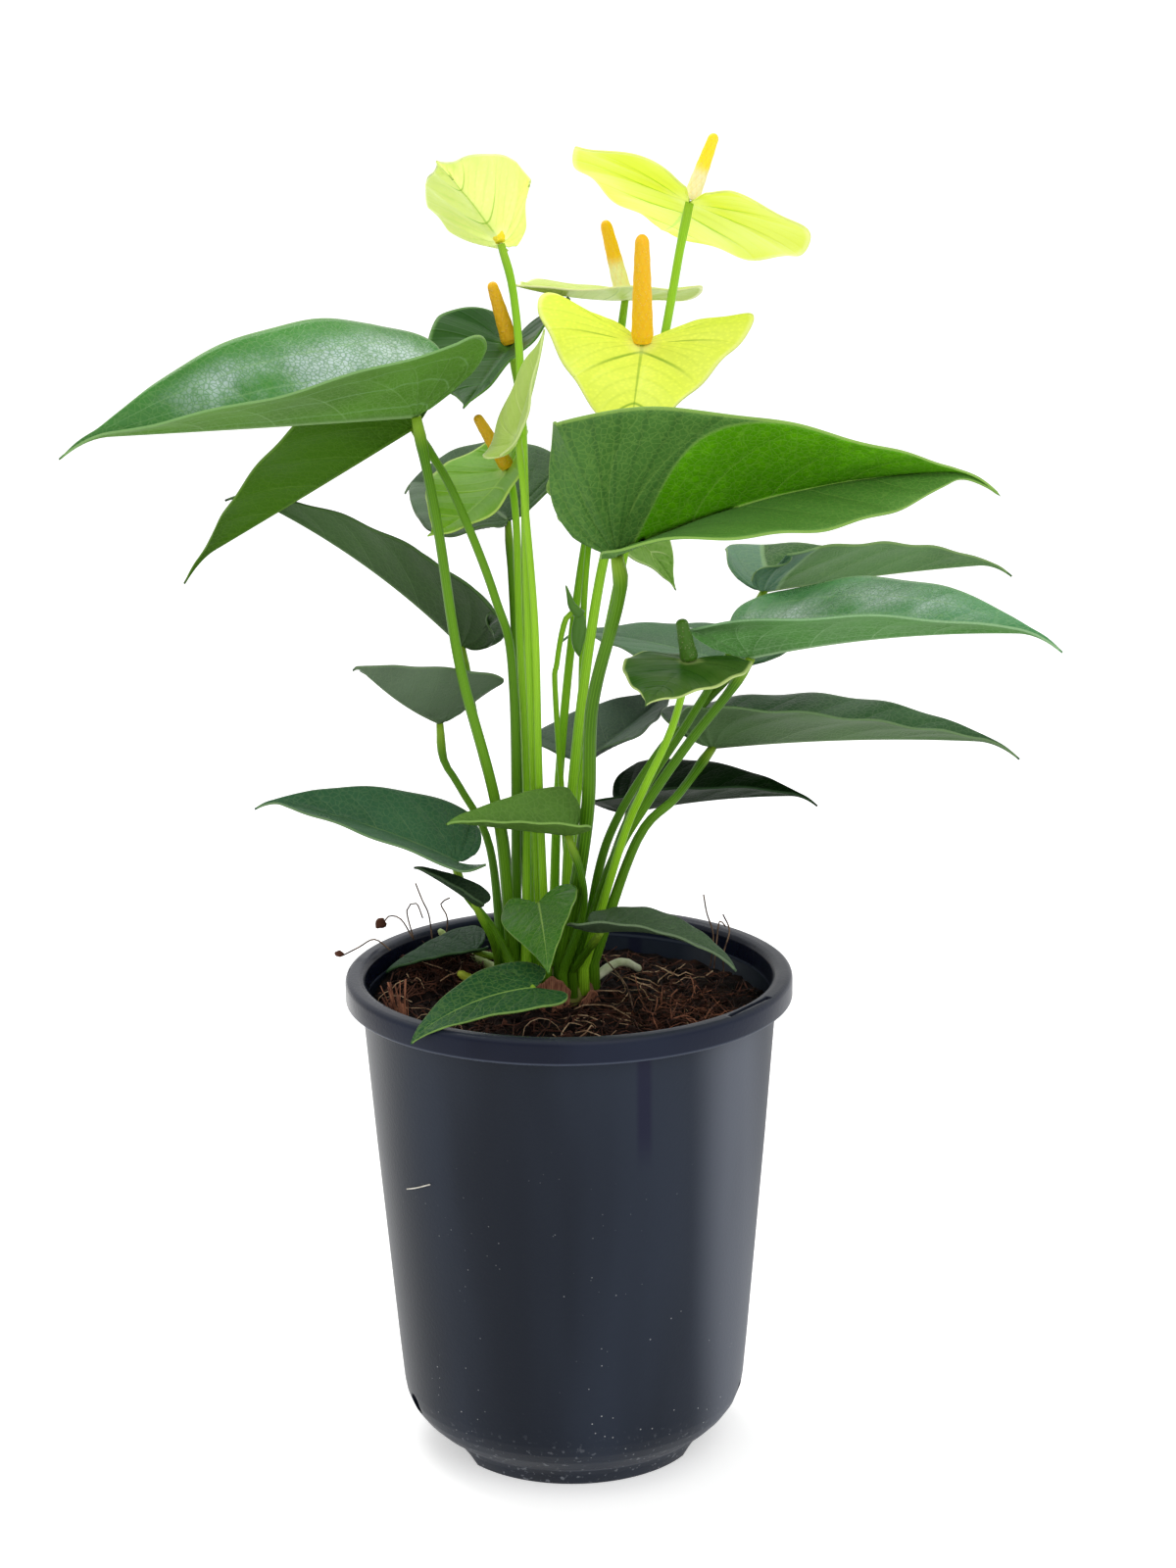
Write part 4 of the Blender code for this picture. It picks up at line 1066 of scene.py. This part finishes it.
def leaf_skins(name, leaf):
    """The finishes of a leaf's upper and lower sides."""
    skins = []
    vein = srgb(*leaf.vein)
    sides = (("upper", leaf.upper, leaf.rough, 0.15), ("under", leaf.under, 0.5, 0.06))
    for part, base, rough, shine in sides:
        skin = Finish(f"{name}_{part}", roughness=rough, specular=shine)
        base = srgb(*base)
        lines, share = vein_lines(skin, SIDE_VEINS, VEIN_SWEEP, 0.03)
        fine, _ = vein_lines(skin, 36, 2.0, 0.12)
        net = skin.cells(520.0, "DISTANCE_TO_EDGE").between(0.0, 0.14)
        patches = skin.lumps(30.0, 3.0).between(0.3, 0.7)
        colour = skin.blend(patches, tinted(base, 0.78), tinted(base, 1.08))
        colour = leaf.zones(skin, colour, part, *skin.across("flat"), share)
        colour = skin.blend((1.0 - net) * 0.3, colour, skin.blend(0.5, colour, vein))
        colour = skin.blend(fine * share.between(1.0, 0.3) * 0.08, colour, vein)
        colour = skin.blend(lines * share.between(0.95, 0.4) * 0.22, colour, vein)
        colour = skin.blend(share.between(0.045, 0.015) * 0.75, colour, vein)
        colour = skin.blend(share.between(0.978, 0.995) * 0.6, colour, vein)
        skin.paint("Base Color", colour)
        skin.paint("Roughness", rough + skin.lumps(60.0).between(0.3, 0.7) * 0.14 - net * 0.04)
        skin.raise_by(net * 0.7 - lines * 1.0 + skin.lumps(300.0, 3.0) * 0.8, 0.3, 0.0004)
        skins.append(skin)
    return skins


def stalk_finish(name, light, dark):
    """A smooth green stalk: faint ridges run up it, and it turns yellower at its top."""
    made = Finish(name, roughness=0.38, specular=0.15)
    angle, far = made.across()
    ridge = (angle * 14.0 * math.pi).math("SINE")
    patches = made.lumps(24.0, 3.0, stretch=(1.0, 1.0, 0.3)).between(0.3, 0.7)
    colour = made.blend(patches, dark, light)
    colour = made.blend(ridge.between(0.2, 1.0) * 0.35, colour, tinted(light, 1.35))
    colour = made.blend(far.between(0.11, 0.02) * 0.5, colour, srgb(165, 200, 60))
    made.paint("Base Color", colour)
    made.raise_by(ridge, 0.25, 0.0004)
    return made


def stalk_shape(stalk, end, swelling):
    """A stalk from inside the crown to its end, flared at its foot and swollen under the blade."""
    route = smooth_route([(*stalk.foot, STALK_RISE), *stalk.via, end], 3.0)
    route = np.concatenate([[(*stalk.foot, STALK_FOOT)], route])
    travelled = distance_along(route)
    left = travelled[-1] - travelled
    taper = 0.88 - 0.2 * travelled / travelled[-1]
    flare = FLARE * np.exp(-travelled / FLARE_REACH)
    flare = flare + swelling * np.exp(-((left - SWELLING_BELOW) / SWELLING_REACH) ** 2)
    return rod(route, stalk.radius * taper * (1.0 + flare), STALK_SIDES, STALK_RIDGE)


petiole = stalk_finish("petiole_green", srgb(104, 154, 30), srgb(64, 110, 12))
SLOTS = {part["node"]: part["material_slot"] for part in frame["record"]["subparts"]}
for number, (name, leaf) in enumerate(LEAVES.items()):
    form = leaf.form or (YOUNG_FORM if leaf.blade.length < YOUNG_LENGTH else LEAF_FORM)
    relief = Relief(SIDE_VEINS, LEAF_QUILT, LEAF_RIPPLE, 4.0 + number % 3)
    surface = blade_surface(leaf.blade, form, relief, number)
    made = add_piece(name + "_blade", surface, leaf_skins(name, leaf), SLOTS[name], name)
    weld(made)
    thicken(made, BLADE_THICKNESS)
    stem = stalk_shape(leaf.stalk, leaf.blade.at, PETIOLE_SWELLING)
    add_piece(name + "_petiole", stem, [petiole], SLOTS[name], name)


# --- the flowers ----------------------------------------------------------------------------------
# A flower is a spathe, the one coloured leaf that is thinner than the green ones, at the top of a
# long stalk, and a spadix, the fleshy finger of packed tiny florets that stands on it. Young
# flowers are yellow, and old ones turn green.

SPATHE_THICKNESS = 0.6
SPATHE_VEINS = 5
SPATHE_QUILT, HOOD_QUILT, SPATHE_RIPPLE = 0.014, 0.06, 0.012
HOOD_SOFTENING = 16  # passes that round the hooded spathe's back
SPATHE_OUTLINE = (
    (1.0, 0.0), (0.93, 0.02), (0.84, 0.08), (0.7, 0.2), (0.5, 0.33), (0.3, 0.42), (0.1, 0.46),
    (-0.08, 0.45), (-0.22, 0.37), (-0.31, 0.24), (-0.31, 0.13), (-0.2, 0.04),
)
WINGED_OUTLINE = (
    (1.0, 0.0), (0.9, 0.03), (0.76, 0.12), (0.56, 0.26), (0.32, 0.41), (0.06, 0.55), (-0.13, 0.63),
    (-0.24, 0.62), (-0.27, 0.52), (-0.22, 0.34), (-0.14, 0.16), (-0.07, 0.05),
)
SPATHE_FORM = Form(SPATHE_OUTLINE, SPATHE_OUTLINE, 0.32, 0.46, 0.0)
WINGED_FORM = Form(WINGED_OUTLINE, WINGED_OUTLINE, 0.32, 0.46, 0.0)
SPADIX_LIFT = 0.8  # from the spathe's stalk point to the foot of its spadix
SPADIX_ROWS, SPADIX_SIDES, FLORET_SPIRALS = 190, 66, 8
FLORET_RISE = 0.09
CREAM, LEMON = srgb(252, 240, 200), srgb(255, 232, 40)
ORANGE, MOSS = srgb(255, 196, 28), srgb(66, 112, 20)

# lean: the direction it stands in. reach: its length. girth: its radius. low, high: its colours.
Spadix = namedtuple("Spadix", "lean reach girth low high")
# upper, under, vein, margin: colours of the spathe. glow: how much of its own colour each side
# gives off as painted light, standing in for daylight that comes through the spathe.
Flower = namedtuple(
    "Flower", "blade stalk spadix upper under vein margin glow form quilt",
    defaults=((0.0, 0.0), SPATHE_FORM, SPATHE_QUILT))
FLOWERS = {
    "flower_hooded": Flower(
        Blade((-17.5, 6, 381), -116, 36, 66, 1, 49, 1.08, 4, 46, -4, 30),
        Stalk((-8.5, 8), ((-10, 4, 215), (-11, -2.5, 266), (-12, -4, 338), (-14, 3, 366.5)), 1.7),
        Spadix((-0.25, 0.5, 0.85), 20, 1.8, LEMON, ORANGE),
        (226, 244, 118), (232, 243, 136), (134, 178, 40), (242, 252, 180),
        glow=(0.0, 0.36), quilt=HOOD_QUILT),
    "flower_top": Flower(
        Blade((39.5, 22, 391.5), 95, -18, 22, -24, 75, 1.11, -14, 2, 5, 7),
        Stalk((0, 15.5), ((3.5, 16, 212), (16.5, 21.5, 273), (32, 28, 351), (36.5, 25, 376.5)), 1.9),
        Spadix((0.36, 0.1, 0.93), 21, 2.5, CREAM, LEMON),
        (240, 253, 40), (243, 252, 76), (160, 206, 20), (248, 254, 150),
        glow=(0.0, 0.34)),
    "flower_front": Flower(
        Blade((24.5, 6, 350.5), -97, -28, 1, 11, 55, 0.95, 5, -1, 5, 5),
        Stalk((-1.5, 9.5), ((2, 8, 214), (10.5, 7.5, 276), (22, 6.5, 324.5)), 2.0),
        Spadix((0.0, -0.15, 1.0), 33, 3.3, ORANGE, ORANGE),
        (242, 255, 92), (232, 248, 104), (104, 158, 30), (248, 255, 150),
        form=WINGED_FORM),
    "flower_rear": Flower(
        Blade((20.5, 62, 358), -132, 5, 11, 8, 53, 1.13, -10, -6, -2, 1),
        Stalk((-5, 21), ((-2.5, 26, 209.5), (4.5, 38, 270), (16, 52, 330.5)), 1.7),
        Spadix((-0.24, 0.05, 0.97), 25, 2.8, CREAM, ORANGE),
        (206, 224, 104), (190, 212, 90), (150, 180, 70), (250, 252, 196),
        glow=(0.0, 0.2)),
    "flower_aged_dark": Flower(
        Blade((-15.5, 40, 346.5), -106, -17, 26, 9, 52, 1.04, -6, 6, 10, 24),
        Stalk((-11, 18), ((-12, 20, 211), (-12.5, 31, 259), (-12, 37, 317.5)), 1.6),
        Spadix((-0.28, 0.0, 0.96), 20, 2.6, ORANGE, ORANGE),
        (28, 74, 12), (32, 78, 14), (48, 98, 24), (92, 138, 60)),
    "flower_aged_green": Flower(
        Blade((-16.5, 26, 310), -128, -37, 34, -15, 43, 1.23, -33, 30, -44, 30),
        Stalk((-13.5, 5.5), ((-12.5, 10.5, 213.5), (-14, 14, 262.5), (-14.5, 16, 296)), 1.6),
        Spadix((-0.5, 0.0, 0.86), 19, 2.4, ORANGE, ORANGE),
        (108, 170, 4), (124, 186, 6), (168, 210, 84), (186, 212, 110),
        glow=(0.16, 0.1)),
    "flower_folded": Flower(
        Blade((-13, -17, 326), 29, 68, 7, 37, 33, 1.01, -11, 57, 0, -18),
        Stalk((-7, 3.5), ((-8.5, -1, 216.5), (-9, -6.5, 267), (-11.5, -10, 306.5)), 1.5),
        None,
        (184, 214, 96), (178, 210, 88), (212, 232, 140), (222, 240, 160),
        glow=(0.0, 0.14)),
    "flower_hidden": Flower(
        Blade((9, 36, 295.5), 3, -26, 67, -23, 38, 0.86, 38, -47, 3, 5),
        Stalk((-1, 23), ((4, 23, 214), (6, 26, 265)), 1.4),
        Spadix((0.31, -0.7, 0.64), 12, 2.2, MOSS, MOSS),
        (98, 152, 36), (140, 186, 76), (206, 228, 156), (200, 226, 150),
        glow=(0.0, 0.12)),
    "flower_young": Flower(
        Blade((36.5, -49, 264.5), -112, -4, 0, 2, 38, 1.05, 6, -15, -5, 0),
        Stalk((4.5, 3), ((17, -8, 200), (23.5, -20, 219.5), (31.5, -30, 240)), 1.6),
        Spadix((-0.2, 0.0, 0.98), 12.5, 2.6, MOSS, MOSS),
        (38, 92, 4), (56, 110, 10), (36, 84, 8), (206, 226, 140)),
}


def spathe_skins(name, flower):
    """The two skins of a spathe: veins fan from its stalk point, where it is whitish."""
    skins = []
    vein, margin = srgb(*flower.vein), srgb(*flower.margin)
    for part, base, glow in zip(("upper", "under"), (flower.upper, flower.under), flower.glow):
        skin = Finish(f"{name}_{part}", roughness=0.42, specular=0.12)
        base = srgb(*base)
        lines, share = vein_lines(skin, SPATHE_VEINS, 0.3, 0.04)
        fine, _ = vein_lines(skin, 20, 1.2, 0.2)
        x, y = skin.across("flat")
        near = (x * x + y * y).math("SQRT")
        pale = tuple(0.84 * c + 0.16 * m for c, m in zip(base, margin))
        colour = skin.blend(skin.lumps(40.0, 3.0).between(0.3, 0.7), tinted(base, 0.95), pale)
        colour = skin.blend(skin.cells(700.0).between(0.1, 0.6) * 0.12, colour, vein)
        colour = skin.blend(fine * share.between(1.0, 0.5) * 0.12, colour, vein)
        colour = skin.blend(lines * share.between(0.9, 0.25) * 0.7, colour, vein)
        colour = skin.blend(share.between(0.035, 0.012) * 0.5, colour, vein)
        colour = skin.blend(near.between(0.13, 0.03) * 0.6, colour, margin)
        colour = skin.blend(share.between(0.94, 0.99) * 0.8, colour, margin)
        skin.paint("Base Color", colour)
        # painted light: the spathe gives off its own colour as emission, for daylight that comes
        # through it
        if glow:
            skin.paint("Emission Color", colour)
            skin.shader.inputs["Emission Strength"].default_value = glow
        skin.raise_by(fine * 0.4 + lines + skin.lumps(160.0, 3.0) * 0.6, 0.3, 0.0006)
        skins.append(skin)
    return skins


def spadix_shape(spadix, foot):
    """A tapering finger with its florets in crossing spirals."""
    lean = np.array(spadix.lean) / np.linalg.norm(spadix.lean)
    start = np.array(foot) + lean * SPADIX_LIFT
    across = np.cross(lean, (0.0, 1.0, 0.0))
    across /= np.linalg.norm(across)
    other = np.cross(lean, across)
    climb = FLORET_SPIRALS * spadix.reach / (2.2 * spadix.girth)
    points, lie = [], []
    for i in range(SPADIX_ROWS + 1):
        up = i / SPADIX_ROWS
        tip = math.sqrt(max(0.0, 1.0 - max(0.0, (up - 0.9) / 0.1) ** 2.4))
        profile = spadix.girth * min(1.0, 0.8 + 3.0 * up) * (1.0 - 0.4 * up ** 1.3) * tip
        for k in range(SPADIX_SIDES):
            angle = 2 * math.pi * k / SPADIX_SIDES
            wander = 0.5 * noise.noise(Vector((angle, up * 9.0, 0.0)))
            rise, fall = FLORET_SPIRALS * angle + wander, climb * up + wander
            floret = abs(math.sin((rise + fall) / 2) * math.sin((rise - fall) / 2))
            radius = profile + FLORET_RISE * floret * min(1.0, profile / 1.2)
            around = across * math.cos(angle) + other * math.sin(angle)
            points.append(start + lean * spadix.reach * up + around * radius)
            lie.append((floret, up))
    return Piece(points, tube_faces(SPADIX_ROWS + 1, SPADIX_SIDES), lie)


def florets(name, low, high):
    """Floret flesh that ripens from the foot up."""
    made = Finish(name, roughness=0.5, specular=0.3)
    floret, up = made.across()
    colour = made.blend((up + made.lumps(300.0) * 0.12).between(0.4, 0.62), low, high)
    dark = made.blend(1.0, colour, (1.0, 0.9, 0.78), mode="MULTIPLY")
    colour = made.blend(floret.between(0.0, 0.3), dark, colour)
    grain = made.cells(1300.0)
    made.paint("Base Color", made.blend(grain.between(0.35, 0.0) * 0.25, colour, CREAM))
    made.raise_by(grain.between(0.5, 0.0), 0.4, 0.0003)
    return made


scape = stalk_finish("flower_stalk_green", srgb(166, 220, 56), srgb(126, 184, 26))
for number, (name, flower) in enumerate(FLOWERS.items()):
    relief = Relief(SPATHE_VEINS, flower.quilt, SPATHE_RIPPLE, 3.0 + number % 3)
    surface = blade_surface(flower.blade, flower.form, relief, number + 3)
    node = name + "_spathe"
    made = add_piece(node + "_blade", surface, spathe_skins(name, flower), SLOTS[node], node)
    weld(made)
    if flower.quilt == HOOD_QUILT:
        made.modifiers.new("rounded_back", "SMOOTH").iterations = HOOD_SOFTENING
    thicken(made, SPATHE_THICKNESS)
    node = name + "_stalk"
    stem = stalk_shape(flower.stalk, flower.blade.at, FLOWER_STALK_SWELLING)
    add_piece(node + "_rod", stem, [scape], SLOTS[node], node)
    if flower.spadix:
        node = name + "_spadix"
        finger = spadix_shape(flower.spadix, flower.blade.at)
        flesh = florets(name + "_florets", flower.spadix.low, flower.spadix.high)
        add_piece(node + "_finger", finger, [flesh], SLOTS[node], node)

# The bud is a flower that is still shut. It hangs from the bend at the top of its thin stalk, with
# the tip of its spathe standing up like an ear.
BUD_PLACE = (5.0, 20.0, 267.0)
BUD_STALK = Stalk((1.5, 19.5), ((-3, 20, 236), (-2.5, 20, 250), (0.5, 20, 264)), 1.2)
BUD_ROUTE = ((4.5, 20, 267), (4.6, 20, 262), (4.0, 20, 256), (4.4, 20, 252))
EAR_ROUTE = ((5, 20, 265), (2.5, 20, 268), (1.6, 20, 271), (0.6, 20, 274.5))
BUD_RADIUS, EAR_RADIUS, EAR_TIP_RADIUS = 2.3, 1.9, 0.25
bud_skin = Finish("bud_green", roughness=0.4, specular=0.4)
streaks = bud_skin.lumps(120.0, 3.0, stretch=(1.0, 1.0, 0.2))
bud_skin.paint("Base Color", bud_skin.blend(streaks, srgb(58, 108, 28), srgb(110, 158, 54)))
stem = stalk_shape(BUD_STALK, BUD_PLACE, FLOWER_STALK_SWELLING)
add_piece("bud_stalk_rod", stem, [scape], "flower_stalk", "flower_bud_stalk")
bud_route, ear_route = smooth_route(BUD_ROUTE, 0.8), smooth_route(EAR_ROUTE, 0.8)
bud_radii = np.sin(np.linspace(0.25, math.pi - 0.05, len(bud_route))) ** 0.8 * BUD_RADIUS
bud = rod(bud_route, bud_radii, 14, 0.08, 3)
ear = rod(ear_route, np.linspace(EAR_RADIUS, EAR_TIP_RADIUS, len(ear_route)), 12)
add_piece("bud_spathe", merged([bud, ear]), [bud_skin], "green_spathe", "flower_bud")
